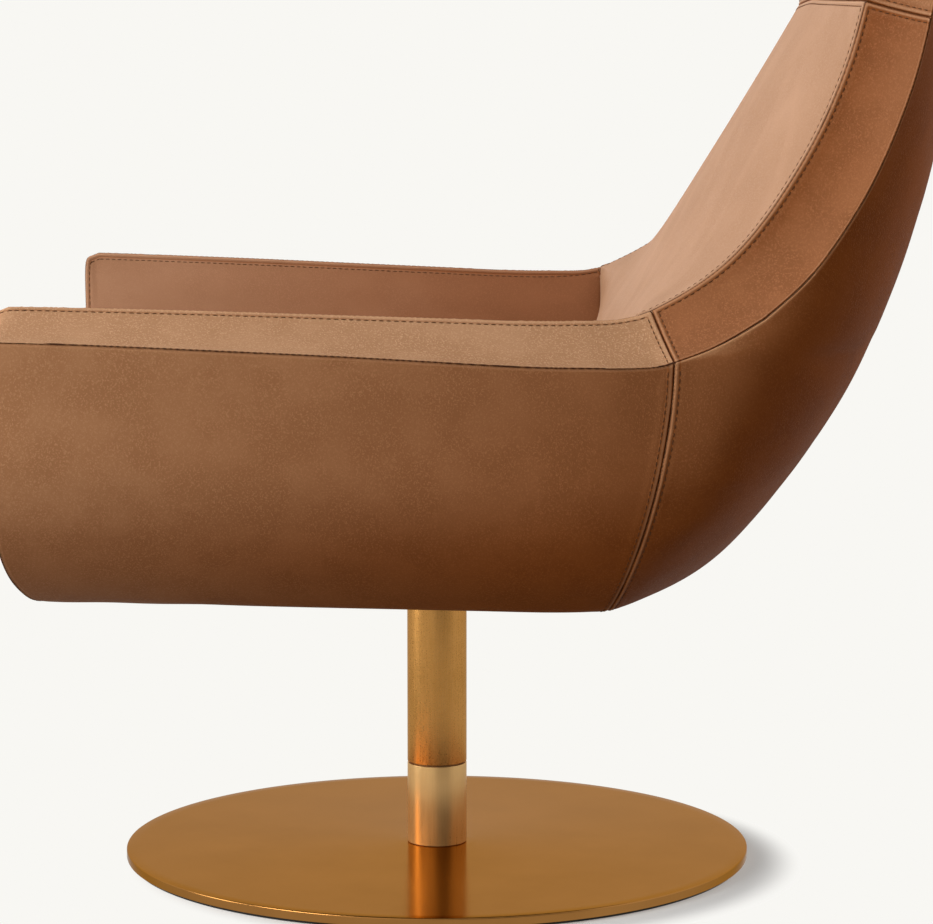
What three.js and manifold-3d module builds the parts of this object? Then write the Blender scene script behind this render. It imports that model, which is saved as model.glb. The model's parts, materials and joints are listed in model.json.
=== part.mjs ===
// A swivel rocker: a leather tub chair on a brass column and floor disc.
// Millimetres, +Z up. The sitter faces -Y. The origin is on the floor, on the column's axis.
import * as THREE from 'three';
import { mergeVertices } from 'three/addons/utils/BufferGeometryUtils.js';
import Module from 'manifold-3d';

const wasm = await Module();
wasm.setup();

// Floor disc and column
const discDiameter = 600;
const discThickness = 8.5;
const discEdgeBreak = 1;
const padThickness = 3;
const padInset = 4;
const columnDiameter = 57.2;
const tubeWall = 3;
const tubeFootBreak = 1.6;
const swivelHeight = 90;
const swivelGap = 1.6;

// Spindle and swivel bearings inside the column
const spindleDiameter = 34;
const flangeThickness = 12;
const shoulderHeight = 10;
const shoulderRise = 6;
const bushWall = 7;
const bushLength = 42;
const thrustThickness = 4;
const washerThickness = 2;
const ringThickness = 2;
const ringGrooveDepth = 2;
const spindleTipRise = 4;
const screwDiameter = 8;
const screwHeadDiameter = 15;
const screwHeadDepth = 5;
const screwCircleDiameter = 34;
const screwDepth = 19;
const screwCount = 4;

// Rocker mechanism on top of the column
const yokeHeight = 290;
const yokeThickness = 6;
const yokeWidth = 112;
const yokeLength = 150;
const earThickness = 6;
const earRadius = 14;
const pivotRise = 24;
const shaftDiameter = 14;
const shaftOverhang = 3;
const bushFlange = 2;
const pivotBushWall = 3;
const rockerRise = 22;
const rockerPlateThickness = 5;
const rockerOverhang = 19;
const rockerFlangeDepth = 30;
const springEndMargin = 15;
const springDiameter = 30;
const springWire = 5;
const springTurns = 5;
const springCupRise = 4;
const stopEndMargin = 12;
const stopOffset = 36;
const stopDiameter = 16;
const reclineLimit = 10;
const forwardLimit = 6;
const boltDiameter = 8;
const boltHeadDiameter = 13;
const boltHeadThickness = 5;
const boltGrip = 32;
const boltOffset = 40;
const deckGap = 9;

// Seat shell: the inner rim line, seen from the side, and the band along it.
// Rises and drops in the seat are measured from its deck.
const seatHalfWidth = 347;
const armToeIn = 5.7;
const armFrontY = -374;
const rimTopY = 413;
const rimLowRise = 192.5;
const rimTopRise = 635;
const armCornerRadius = 15;
const bandWidth = 66;
const bandThickness = 14;
const bandCrown = 4;
const bandFrontDrop = 6;
const seamCornerRadius = 4;
const headCornerRadius = 95;
const headBow = 14;
const backTaper = 60;
const taperFootRise = 210;

// Seat shell: outside
const hullFrontDrop = 51;
const hullBottomSlope = 0.042;
const hullTurnIn = 140;
const hullTurnStartShare = 0.4;
const hullBulge = 4;
const skinThickness = 12;
const seamRake = 52;
const rearBottomY = 235;
const rearBulgeY = 479;
const rearLift = 16;
const rearLiftStartY = 120;

// Seat shell: foot of the arm's front, and inside
const footReach = 41;
const footStartShare = 0.62;
const footPowerShare = 0.4;
const footBandWidth = 34;
const armPadThickness = 20;
const backPadGap = 3.7;
const backRecline = 31.5;
const backCrownY = 222;
const backCrownRise = 253;
const headSeamDip = 5;
const headPadBulge = 12;

// Seat frame
const clearance = 0.3;
const seamGap = 0.6;
const formerThickness = 18;
const frontFormerY = -322;
const railRearY = 186;
const crossRailSize = 40;
const crossRailDrop = 48;
const deckThickness = 2;
const railReach = 8;
const railFoot = 18;
const railShoulder = 20;
const railWidth = 41;
const railHeight = 42.3;
const armFrameThickness = 12;
const armFrameRearY = 130;
const frameTubeDiameter = 20;
const frameInset = 24;
const frameDepth = 36;
const frameTopDrop = 42;
const frameCornerRadius = 60;
const frameFootInset = 47;
const slingThickness = 2;
const webStrap = 42;
const coverThickness = 3;
const coverRecess = 1.5;
const coverOpeningMargin = 17;
const coverSideMargin = 6;

// Seat cushion
const cushionRise = 108;
const cushionCrownInset = 165;
const cushionSideGap = 11;
const cushionFrontY = -366;
const cushionRearGap = 4;
const cushionFrontRadius = 34;
const cushionRearRadius = 18;
const cutOverrun = 20;

// Materials
const brass = { color: 0xb07a3c, roughness: 0.32, metalness: 1 };
const brassSatin = { color: 0xa86f36, roughness: 0.42, metalness: 1 };
const steel = { color: 0x8c8f92, roughness: 0.4, metalness: 1 };
const blackSteel = { color: 0x26272a, roughness: 0.55, metalness: 0.6 };
const bronze = { color: 0x9a6b3a, roughness: 0.5, metalness: 0.9 };
const rubber = { color: 0x17171a, roughness: 0.85, metalness: 0 };
const plywood = { color: 0xc9a36e, roughness: 0.7, metalness: 0 };
const webbing = { color: 0x2c2a28, roughness: 0.9, metalness: 0 };
const leatherBand = { color: 0xa8795a, roughness: 0.62, metalness: 0 };
const leather = { color: 0x8f5f3f, roughness: 0.62, metalness: 0 };
const leatherInner = { color: 0xb98d70, roughness: 0.66, metalness: 0 };
const lining = { color: 0x1d1c1b, roughness: 0.95, metalness: 0 };

const chair = new THREE.Group();
const vec = (x, y, z) => new THREE.Vector3(x, y, z);
const mix = (a, b, share) => a + (b - a) * share;
const degrees = (angle) => THREE.MathUtils.degToRad(angle);

// A closed surface with shared vertices, no collapsed faces, and its faces outward
function closed(source) {
  const bare = source.index ? source.clone() : source;
  bare.deleteAttribute('normal');
  bare.deleteAttribute('uv');
  const merged = mergeVertices(bare, 1e-4);
  const place = merged.getAttribute('position');
  const faces = [];
  let volume = 0;
  const corner = [vec(0, 0, 0), vec(0, 0, 0), vec(0, 0, 0)];
  for (let i = 0; i < merged.index.count; i += 3) {
    const face = [0, 1, 2].map((k) => merged.index.getX(i + k));
    if (face[0] === face[1] || face[1] === face[2] || face[2] === face[0]) continue;
    face.forEach((v, k) => corner[k].fromBufferAttribute(place, v));
    volume += corner[0].dot(corner[1].clone().cross(corner[2]));
    faces.push(face);
  }
  merged.setIndex(faces.flatMap((face) => (volume < 0 ? [face[0], face[2], face[1]] : face)));
  return merged;
}

function solid(geometry) {
  const shape = closed(geometry);
  return new wasm.Manifold(new wasm.Mesh({
    numProp: 3,
    vertProperties: new Float32Array(shape.getAttribute('position').array),
    triVerts: new Uint32Array(shape.index.array),
  }));
}

function shapeOf(manifold) {
  const mesh = manifold.getMesh();
  const geometry = new THREE.BufferGeometry();
  geometry.setAttribute('position', new THREE.BufferAttribute(mesh.vertProperties, 3));
  geometry.setIndex(Array.from(mesh.triVerts));
  return geometry;
}

function cut(body, ...tools) {
  return shapeOf(tools.reduce((rest, tool) => rest.subtract(solid(tool)), solid(body)));
}

function join(body, ...others) {
  return shapeOf(others.reduce((whole, other) => whole.add(solid(other)), solid(body)));
}

function keep(body, ...tools) {
  return shapeOf(tools.reduce((rest, tool) => rest.intersect(solid(tool)), solid(body)));
}

function add(name, geometry, finish) {
  const shape = closed(geometry);
  shape.computeVertexNormals();
  const mesh = new THREE.Mesh(shape, new THREE.MeshStandardMaterial(finish));
  mesh.name = name;
  chair.add(mesh);
  return mesh;
}

// Right side is +X. The left piece is the right piece mirrored in the chair's middle plane.
function addPair(name, geometry, finish) {
  add(`${name}_right`, geometry, finish);
  add(`${name}_left`, geometry.clone().scale(-1, 1, 1), finish);
}

// Profiles are [radius, height] pairs, turned about the Z axis
function turned(profile, sides = 40) {
  const points = profile.map(([radius, height]) => new THREE.Vector2(radius, height));
  return new THREE.LatheGeometry([...points, points[0]], sides).rotateX(Math.PI / 2);
}

function rod(radius, from, to, sides = 16) {
  const length = from.distanceTo(to);
  const shape = new THREE.CylinderGeometry(radius, radius, length, sides);
  const turn = new THREE.Quaternion().setFromUnitVectors(vec(0, 1, 0), to.clone().sub(from).normalize());
  const middle = from.clone().add(to).multiplyScalar(0.5);
  return shape.applyQuaternion(turn).translate(middle.x, middle.y, middle.z);
}

function block(low, high) {
  const shape = new THREE.BoxGeometry(high.x - low.x, high.y - low.y, high.z - low.z);
  return shape.translate((low.x + high.x) / 2, (low.y + high.y) / 2, (low.z + high.z) / 2);
}

// A solid through closed rings of points, one after the other, with flat ends
function loft(rings) {
  const count = rings[0].length;
  const faces = [];
  rings.slice(1).forEach((ring, r) => ring.forEach((_, i) => {
    const a = r * count + i;
    const b = r * count + ((i + 1) % count);
    faces.push(a, b, b + count, a, b + count, a + count);
  }));
  const cap = (ring, offset, first) => {
    const normal = vec(0, 0, 0);
    ring.forEach((p, i) => normal.add(p.clone().cross(ring[(i + 1) % count])));
    const [nx, ny, nz] = normal.toArray().map(Math.abs);
    const axes = nz >= nx && nz >= ny ? ['x', 'y'] : (nx >= ny ? ['y', 'z'] : ['z', 'x']);
    const flat = ring.map((p) => new THREE.Vector2(p[axes[0]], p[axes[1]]));
    const clockwise = THREE.ShapeUtils.isClockWise(flat);
    THREE.ShapeUtils.triangulateShape(flat, []).forEach(([a, b, c]) => {
      const turned = first ? !clockwise : clockwise;
      faces.push(...(turned ? [a, c, b] : [a, b, c]).map((v) => v + offset));
    });
  };
  cap(rings[0], 0, true);
  cap(rings.at(-1), (rings.length - 1) * count, false);
  const geometry = new THREE.BufferGeometry();
  const places = rings.flat().flatMap((p) => p.toArray());
  geometry.setAttribute('position', new THREE.Float32BufferAttribute(places, 3));
  geometry.setIndex(faces);
  return geometry;
}

// The grid with its border drawn in by half of the seam gap
function drawnIn(grid) {
  const toward = (from, to) => from.clone().add(to.clone().sub(from).setLength(seamGap / 2));
  const rows = grid.map((row) => {
    const last = row.length - 1;
    return row.map((p, c) => {
      if (c === 0) return toward(p, row[1]);
      if (c === last) return toward(p, row[last - 1]);
      return p.clone();
    });
  });
  const last = rows.length - 1;
  const first = rows[0].map((p, c) => toward(p, rows[1][c]));
  const end = rows[last].map((p, c) => toward(p, rows[last - 1][c]));
  return [first, ...rows.slice(1, last), end];
}

// A thick sheet between two point grids of the same size, drawn in along its seams.
// Neighbours share their grid edges, so both split each seam wall along the same diagonal.
function panel(face, back) {
  const rows = face.length;
  const columns = face[0].length;
  const seam = [...face.flat(), ...back.flat()];
  const points = [...drawnIn(face).flat(), ...drawnIn(back).flat()];
  const faces = [];
  const quad = (a, b, c, d) => {
    const short = seam[a].distanceTo(seam[c]) <= seam[b].distanceTo(seam[d]);
    faces.push(...(short ? [a, b, c, a, c, d] : [a, b, d, b, c, d]));
  };
  const at = (layer, row, column) => (layer * rows + row) * columns + column;
  const [lastRow, lastColumn] = [rows - 1, columns - 1];
  for (let r = 0; r < lastRow; r += 1) {
    for (let c = 0; c < lastColumn; c += 1) {
      quad(at(0, r, c), at(0, r, c + 1), at(0, r + 1, c + 1), at(0, r + 1, c));
      quad(at(1, r, c), at(1, r + 1, c), at(1, r + 1, c + 1), at(1, r, c + 1));
    }
    quad(at(0, r, 0), at(0, r + 1, 0), at(1, r + 1, 0), at(1, r, 0));
    quad(at(0, r, lastColumn), at(1, r, lastColumn), at(1, r + 1, lastColumn), at(0, r + 1, lastColumn));
  }
  for (let c = 0; c < lastColumn; c += 1) {
    quad(at(0, 0, c), at(1, 0, c), at(1, 0, c + 1), at(0, 0, c + 1));
    quad(at(0, lastRow, c), at(0, lastRow, c + 1), at(1, lastRow, c + 1), at(1, lastRow, c));
  }
  const geometry = new THREE.BufferGeometry();
  geometry.setAttribute('position', new THREE.Float32BufferAttribute(points.flatMap((p) => p.toArray()), 3));
  geometry.setIndex(faces);
  return geometry;
}

// Smooth value at x from a table of [x, value] shares
function along(table, x) {
  const last = table.length - 1;
  if (x <= table[0][0]) return table[0][1];
  if (x >= table[last][0]) return table[last][1];
  const k = table.findIndex(([place]) => place > x) - 1;
  const share = (x - table[k][0]) / (table[k + 1][0] - table[k][0]);
  const smooth = share * share * (3 - 2 * share);
  return mix(table[k][1], table[k + 1][1], mix(share, smooth, 0.5));
}

function solve(measure, target, low, high) {
  let [a, b] = [low, high];
  const rising = measure(high) > measure(low);
  for (let i = 0; i < 40; i += 1) {
    const middle = (a + b) / 2;
    if (measure(middle) > target === rising) b = middle;
    else a = middle;
  }
  return (a + b) / 2;
}

// Floor disc, its pad and the fixed tube
const discTop = padThickness + discThickness;
const discRadius = discDiameter / 2;
const columnRadius = columnDiameter / 2;
const boreRadius = columnRadius - tubeWall;
const spindleRadius = spindleDiameter / 2;
const screwRadius = screwDiameter / 2;
const screwHeadRadius = screwHeadDiameter / 2;
const screwPlaces = Array.from({ length: screwCount }, (_, k) => {
  const angle = ((k + 0.5) / screwCount) * 2 * Math.PI;
  return vec(Math.cos(angle), Math.sin(angle), 0).multiplyScalar(screwCircleDiameter / 2);
});
const screwBottom = padThickness + clearance;
const screwTop = screwBottom + screwHeadDepth + screwDepth;

const screwHole = (place, extra) => join(
  rod(screwRadius + extra, place, place.clone().setZ(screwTop + extra)),
  rod(
    screwHeadRadius + extra,
    place.clone().setZ(-cutOverrun),
    place.clone().setZ(screwBottom + screwHeadDepth + extra),
  ),
);
const discProfile = [
  [0, padThickness],
  [discRadius - discEdgeBreak, padThickness],
  [discRadius, padThickness + discEdgeBreak],
  [discRadius, discTop - discEdgeBreak],
  [discRadius - discEdgeBreak, discTop],
  [0, discTop],
];
const screwHoles = screwPlaces.map((place) => screwHole(place, clearance));
add('base_disc', cut(turned(discProfile, 96), ...screwHoles), brassSatin);

const padRadius = discRadius - padInset;
const padProfile = [
  [0, 0],
  [padRadius, 0],
  [padRadius, padThickness - clearance],
  [0, padThickness - clearance],
];
add('floor_pad', turned(padProfile, 64), rubber);

const tubeProfile = [
  [boreRadius, discTop + clearance],
  [columnRadius - tubeFootBreak, discTop + clearance],
  [columnRadius, discTop + clearance + tubeFootBreak],
  [columnRadius, swivelHeight],
  [boreRadius, swivelHeight],
];
add('lower_tube', turned(tubeProfile, 64), brass);

// Spindle: flange on the disc, a shoulder for the thrust bearing, and a groove for the ring
const flangeTop = discTop + clearance + flangeThickness;
const shoulderTop = swivelHeight - shoulderHeight;
const thrustTop = shoulderTop + clearance + thrustThickness;
const hubBottom = thrustTop + clearance;
const bushRadius = spindleRadius + bushWall;
const lowerBushTop = hubBottom + bushLength;
const upperBushTop = yokeHeight - shoulderRise - spindleTipRise - ringThickness - washerThickness;
const upperBushBottom = upperBushTop - bushLength;
const washerTop = upperBushTop + clearance + washerThickness;
const ringTop = washerTop + clearance + ringThickness;
const spindleTop = ringTop + spindleTipRise;
const shoulderRadius = boreRadius - clearance;
const grooveRadius = spindleRadius - ringGrooveDepth;
const grooveTop = ringTop + clearance;
const spindleProfile = [
  [0, discTop + clearance],
  [shoulderRadius, discTop + clearance],
  [shoulderRadius, flangeTop],
  [spindleRadius + shoulderRise, flangeTop + shoulderRise],
  [spindleRadius + shoulderRise, shoulderTop],
  [spindleRadius, shoulderTop],
  [spindleRadius, washerTop],
  [grooveRadius, washerTop],
  [grooveRadius, grooveTop],
  [spindleRadius, grooveTop],
  [spindleRadius, spindleTop],
  [0, spindleTop],
];
add('spindle', cut(turned(spindleProfile), ...screwHoles), steel);

screwPlaces.forEach((place, k) => {
  const head = new THREE.CylinderGeometry(screwRadius, screwHeadRadius, screwHeadDepth, 24)
    .rotateX(Math.PI / 2)
    .translate(place.x, place.y, screwBottom + screwHeadDepth / 2);
  const socket = new THREE.CylinderGeometry(screwRadius / 2, screwRadius / 2, screwHeadDepth, 6)
    .rotateX(Math.PI / 2)
    .translate(place.x, place.y, screwBottom);
  const shankFoot = place.clone().setZ(screwBottom + screwHeadDepth / 2);
  const shank = rod(screwRadius, shankFoot, place.clone().setZ(screwTop));
  add(`base_screw_${k + 1}`, cut(join(head, shank), socket), blackSteel);
});

const ringOf = (inner, outer, low, high, sides = 32) => turned([
  [inner, low],
  [outer, low],
  [outer, high],
  [inner, high],
], sides);
const looseRadius = spindleRadius + clearance;
add('thrust_bearing', ringOf(looseRadius, bushRadius, shoulderTop + clearance, thrustTop), bronze);
const bushOuter = boreRadius - clearance;
add('lower_bush', ringOf(looseRadius, bushOuter, hubBottom, lowerBushTop), bronze);
add('upper_bush', ringOf(looseRadius, bushOuter, upperBushBottom, upperBushTop), bronze);
add('spindle_washer', ringOf(looseRadius, bushRadius, upperBushTop + clearance, washerTop), steel);
const ringGap = block(
  vec(0, -springWire / 2, washerTop - cutOverrun),
  vec(columnRadius, springWire / 2, ringTop + cutOverrun),
);
const ringOuter = spindleRadius + ringGrooveDepth * 2;
const ringBody = ringOf(grooveRadius + clearance, ringOuter, washerTop + clearance, ringTop);
add('retaining_ring', cut(ringBody, ringGap), blackSteel);

// Turning tube, from the swivel gap up to the yoke
const upperTubeBottom = swivelHeight + swivelGap;
add('upper_tube', ringOf(boreRadius, columnRadius, upperTubeBottom, yokeHeight - clearance, 64), brass);

// Yoke: a plate on the tube, two ears for the shaft, two spigots for the springs
const yokeTop = yokeHeight + yokeThickness;
const pivotHeight = yokeHeight + pivotRise;
const shaftRadius = shaftDiameter / 2;
const earOuter = yokeWidth / 2;
const yokePlate = block(
  vec(-earOuter, -yokeLength / 2, yokeHeight),
  vec(earOuter, yokeLength / 2, yokeTop),
);
const springPlaces = [-1, 1].map((side) => side * (yokeLength / 2 - springEndMargin));
const spigotRadius = springDiameter / 2 - springWire - clearance * 2;
const spigots = springPlaces.map((y) => rod(
  spigotRadius,
  vec(0, y, yokeTop - yokeThickness / 2),
  vec(0, y, yokeTop + springCupRise),
));
function ear(x0, x1, bottom, top) {
  const upright = block(
    vec(x0, -earRadius, Math.min(bottom, pivotHeight)),
    vec(x1, earRadius, Math.max(top, pivotHeight)),
  );
  const eye = rod(earRadius, vec(x0, 0, pivotHeight), vec(x1, 0, pivotHeight), 24);
  return join(upright, eye);
}
const yokeEars = [-1, 1].map((side) => {
  const edges = [side * earOuter, side * (earOuter - earThickness)].sort((a, b) => a - b);
  return ear(edges[0], edges[1], yokeTop - yokeThickness / 2, pivotHeight);
});
const shaftEnd = earOuter + earThickness + bushFlange + shaftOverhang + clearance * 4;
const shaftBore = rod(
  shaftRadius + clearance / 2,
  vec(-shaftEnd - cutOverrun, 0, pivotHeight),
  vec(shaftEnd + cutOverrun, 0, pivotHeight),
  24,
);
const spindleWay = rod(bushRadius, vec(0, 0, yokeHeight - cutOverrun), vec(0, 0, yokeTop + cutOverrun), 48);
add('rocker_yoke', cut(join(yokePlate, ...yokeEars, ...spigots), shaftBore, spindleWay), blackSteel);
add('pivot_shaft', rod(shaftRadius, vec(-shaftEnd, 0, pivotHeight), vec(shaftEnd, 0, pivotHeight), 24), steel);

// Rocker plate: a channel that hangs over the yoke on the shaft
const plateBottom = pivotHeight + rockerRise;
const plateTop = plateBottom + rockerPlateThickness;
const rockerEarInner = earOuter + bushFlange + clearance * 2;
const rockerHalfWidth = rockerEarInner + earThickness + bushFlange + shaftOverhang;
const plateHalfLength = yokeLength / 2 + rockerOverhang;
const flangeBottom = plateBottom - rockerFlangeDepth;
const channel = join(
  block(vec(-rockerHalfWidth, -plateHalfLength, plateBottom), vec(rockerHalfWidth, plateHalfLength, plateTop)),
  ...[-1, 1].map((side) => {
    const inner = plateHalfLength - rockerPlateThickness;
    const edges = [side * plateHalfLength, side * inner].sort((a, b) => a - b);
    return block(vec(-rockerHalfWidth, edges[0], flangeBottom), vec(rockerHalfWidth, edges[1], plateTop));
  }),
);
const rockerEars = [-1, 1].map((side) => {
  const edges = [side * rockerEarInner, side * (rockerEarInner + earThickness)].sort((a, b) => a - b);
  return ear(edges[0], edges[1], pivotHeight, plateTop - rockerPlateThickness / 2);
});
const bushBore = rod(
  shaftRadius + clearance + pivotBushWall,
  vec(-rockerHalfWidth - cutOverrun, 0, pivotHeight),
  vec(rockerHalfWidth + cutOverrun, 0, pivotHeight),
  24,
);
const upperSpigots = springPlaces.map((y) => rod(
  spigotRadius,
  vec(0, y, plateBottom - springCupRise),
  vec(0, y, plateBottom + rockerPlateThickness / 2),
));
const boltHeight = mix(flangeBottom, plateBottom, 0.5);
const boltPlaces = [-1, 1].flatMap((front) => [-1, 1].map((side) => ({ x: side * boltOffset, front })));
const boltRadius = boltDiameter / 2;
const boltTip = plateHalfLength + boltGrip;
const boltHeadInner = plateHalfLength - rockerPlateThickness - clearance;
const boltHoles = boltPlaces.map(({ x, front }) => rod(
  boltRadius + clearance,
  vec(x, front * (boltHeadInner - boltHeadThickness), boltHeight),
  vec(x, front * (boltTip + clearance), boltHeight),
));
add('rocker_plate', cut(join(channel, ...rockerEars, ...upperSpigots), bushBore, ...boltHoles), blackSteel);
const bushSleeve = join(
  rod(
    shaftRadius + pivotBushWall + clearance / 2,
    vec(earOuter + clearance, 0, pivotHeight),
    vec(rockerEarInner + earThickness, 0, pivotHeight),
    24,
  ),
  rod(
    shaftRadius + pivotBushWall * 2,
    vec(earOuter + clearance, 0, pivotHeight),
    vec(earOuter + clearance + bushFlange, 0, pivotHeight),
    24,
  ),
);
addPair('pivot_bush', cut(bushSleeve, shaftBore), bronze);

boltPlaces.forEach(({ x, front }, k) => {
  const head = new THREE.CylinderGeometry(boltHeadDiameter / 2, boltHeadDiameter / 2, boltHeadThickness, 6)
    .translate(x, front * (boltHeadInner - boltHeadThickness / 2), boltHeight);
  const shankRoot = vec(x, front * (boltHeadInner - boltHeadThickness / 2), boltHeight);
  const shank = rod(boltRadius, shankRoot, vec(x, front * boltTip, boltHeight));
  add(`rocker_bolt_${k + 1}`, join(head, shank), blackSteel);
});

// Coil springs between yoke and plate, with flat end turns cut square
const springBottom = yokeTop + clearance;
const springTop = plateBottom - clearance;
function coil(x, y) {
  const radius = (springDiameter - springWire) / 2;
  const steps = springTurns * 9;
  const points = [];
  for (let i = 0; i <= steps; i += 1) {
    const angle = (i / steps) * springTurns * 2 * Math.PI;
    const height = mix(springBottom + springWire / 2, springTop - springWire / 2, i / steps);
    points.push(vec(x + radius * Math.cos(angle), y + radius * Math.sin(angle), height));
  }
  const wire = new THREE.Shape().absarc(0, 0, springWire / 2, 0, 2 * Math.PI);
  const path = new THREE.CatmullRomCurve3(points);
  return new THREE.ExtrudeGeometry(wire, { steps, curveSegments: 3, extrudePath: path, bevelEnabled: false });
}
springPlaces.forEach((y, k) => {
  add(`rocker_spring_${['front', 'rear'][k]}`, coil(0, y), steel);
});

// Rubber stops under the plate. Their height is what the plate leaves at each limit.
const underPlateAt = (reach, angle) => pivotHeight
  - reach * Math.sin(degrees(angle))
  + rockerRise * Math.cos(degrees(angle));
const stopRadius = stopDiameter / 2;
const stopReach = yokeLength / 2 - stopEndMargin;
[['front', -1, forwardLimit], ['rear', 1, reclineLimit]].forEach(([place, side, limit]) => {
  const top = underPlateAt(stopReach + stopRadius, limit) - clearance * 2;
  const y = side * stopReach;
  const stop = rod(stopRadius, vec(stopOffset, y, yokeTop + clearance), vec(stopOffset, y, top));
  addPair(`stop_${place}`, stop, rubber);
});

// Heights of the seat, from its deck just over the rocker plate
const deckHeight = plateTop + deckGap;
const rimLowZ = deckHeight + rimLowRise;
const rimTopZ = deckHeight + rimTopRise;
const taperFootZ = deckHeight + taperFootRise;
const hullFrontBottom = deckHeight - hullFrontDrop;
const backPadBottom = deckHeight + railHeight + backPadGap;
const backCrownZ = deckHeight + backCrownRise;
const crossRailBottom = deckHeight - crossRailDrop;

// Rim line, seen from the side: the arm's top edge, the turn at the seat and the back's edge.
// The shares run from the arm's front to the top of the back, and from the rim's lowest point up.
const rimShares = [
  [0, 0.038],
  [0.2247, 0.025],
  [0.4781, 0.007],
  [0.6038, 0],
  [0.6671, 0.005],
  [0.7018, 0.018],
  [0.7415, 0.0528],
  [0.7816, 0.0991],
  [0.8149, 0.1546],
  [0.8455, 0.2223],
  [0.8732, 0.2962],
  [0.899, 0.3786],
  [0.9272, 0.4957],
  [0.9474, 0.6195],
  [0.9665, 0.7438],
  [1, 1],
];
const rimLine = new THREE.CatmullRomCurve3(
  rimShares.map(([y, z]) => vec(0, mix(armFrontY, rimTopY, y), mix(rimLowZ, rimTopZ, z))),
  false,
  'centripetal',
);
// The rim's place and direction at a share of its depth
function rimAt(depthShare) {
  const t = solve((s) => rimLine.getPoint(s).y, mix(armFrontY, rimTopY, depthShare), 0, 1);
  return { place: rimLine.getPoint(t), tangent: rimLine.getTangent(t) };
}
// How far the outer seam drops behind the inner one, as a share of the band's width
const bandDropShares = [
  [0, 0.39],
  [0.3391, 0.45],
  [0.5426, 0.5],
  [0.6646, 0.55],
  [0.7043, 0.66],
  [0.7525, 0.76],
  [0.8153, 0.88],
  [0.8643, 0.92],
  [0.9151, 0.87],
  [0.9483, 0.83],
  [1, 0.76],
];
const armCornerShare = 0.0271;
const armStationShares = [0.0611, 0.1628, 0.2713, 0.3799, 0.4884, 0.5833, 0.6511];
const innerSeamShare = 0.6937;
const crossSeamShare = 0.7088;
const backStationShares = [0.7466, 0.7859, 0.8198, 0.849, 0.8785, 0.904, 0.9297];
const headSeamShare = 0.9473;
const toeSlope = Math.tan(degrees(armToeIn));
const innerFaceX = (y) => seatHalfWidth - toeSlope * y;
// The back narrows from the seat to its top
function taperAt(z) {
  const share = Math.min(1, Math.max(0, (z - taperFootZ) / (rimTopZ - taperFootZ)));
  return backTaper * share * (1.6 - 0.6 * share);
}
const right = vec(1, 0, 0);
const down = vec(0, 0, -1);
const rearward = vec(0, 1, 0);

// One place on the rim: the inner and outer seam of the band
function station(depthShare) {
  const { place, tangent } = rimAt(depthShare);
  const behind = vec(0, tangent.z, -tangent.y);
  const drop = bandWidth * along(bandDropShares, depthShare);
  const spread = Math.sqrt(bandWidth ** 2 - drop ** 2);
  const inner = vec(innerFaceX(place.y) - taperAt(place.z), place.y, place.z);
  const outer = inner.clone().addScaledVector(behind, drop).addScaledVector(right, spread);
  return { inner, outer, tangent, behind, outward: right.clone() };
}

// Corner of the band and a skin, set in by both thicknesses, square to the rim
function mitre(corner, bandWay, skinWay, tangent, skinThick) {
  const a = bandWay.clone().projectOnPlane(tangent).normalize();
  const b = skinWay.clone().projectOnPlane(tangent).normalize();
  const sine = a.clone().cross(b).length();
  return corner.clone().addScaledVector(a, skinThick / sine).addScaledVector(b, bandThickness / sine);
}
function setCores(place, innerWay, outerWay) {
  const bandWay = place.outer.clone().sub(place.inner);
  place.innerCore = mitre(place.inner, bandWay, innerWay, place.tangent, armPadThickness);
  place.outerCore = mitre(place.outer, bandWay.negate(), outerWay, place.tangent, skinThickness);
  return place;
}

const armStations = armStationShares.map(station);
const innerSeam = station(innerSeamShare);
const crossSeam = station(crossSeamShare);
[...armStations, innerSeam, crossSeam].forEach((place) => setCores(place, place.behind, place.behind));
innerSeam.innerCore.addScaledVector(
  innerSeam.tangent,
  (innerSeam.inner.y + armPadThickness - innerSeam.innerCore.y) / innerSeam.tangent.y,
);
const backStations = backStationShares.map(station);
const headSeam = station(headSeamShare);

// Outside of the shell. A drop share runs from the outer seam (0) to the bottom (1).
function hullBottom(y) {
  const liftShare = Math.max(0, (y - rearLiftStartY) / (rearBottomY - rearLiftStartY));
  return hullFrontBottom - hullBottomSlope * (y - armFrontY) + rearLift * liftShare ** 1.4;
}
function turnIn(drop) {
  const bulge = Math.sin(Math.min(1, drop / hullTurnStartShare) * Math.PI / 2);
  const share = Math.max(0, (drop - hullTurnStartShare) / (1 - hullTurnStartShare));
  return (hullTurnIn + hullBulge) * (1 - Math.sqrt(1 - share ** 2)) - hullBulge * bulge;
}
const frontTop = vec(
  station(armCornerShare).outer.x,
  armFrontY + bandFrontDrop,
  station(armCornerShare).outer.z,
);
const depthShare = (y) => (y - frontTop.y) / (crossSeam.outer.y - frontTop.y);
const hullTopX = (y) => mix(frontTop.x, crossSeam.outer.x, depthShare(y));
const seamY = (drop) => crossSeam.outer.y - seamRake * drop ** 1.7;
function footSetback(drop) {
  const share = Math.max(0, (drop - footStartShare) / (1 - footStartShare));
  return footReach * (1 - (1 - share ** 2) ** footPowerShare);
}
const padFootShare = 0.6;
const panelTopShare = 0.78;
const rowShares = [0.12, 0.26, 0.4, 0.5, padFootShare, 0.69, panelTopShare, 0.87, 0.94, 0.98, 1];
function sidePoint(top, y, drop) {
  const x = top.x + hullTopX(y) - hullTopX(top.y) - turnIn(drop);
  return vec(x, y, mix(top.z, hullBottom(y), drop));
}
// Inward normal of the side, level along the chair
const normalShare = 0.004;
function sideNormal(top, drop) {
  const upper = sidePoint(top, top.y, Math.max(0, drop - normalShare));
  const lower = sidePoint(top, top.y, Math.min(1, drop + normalShare));
  const fall = lower.sub(upper).normalize();
  return vec(fall.z, 0, -fall.x);
}

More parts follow.
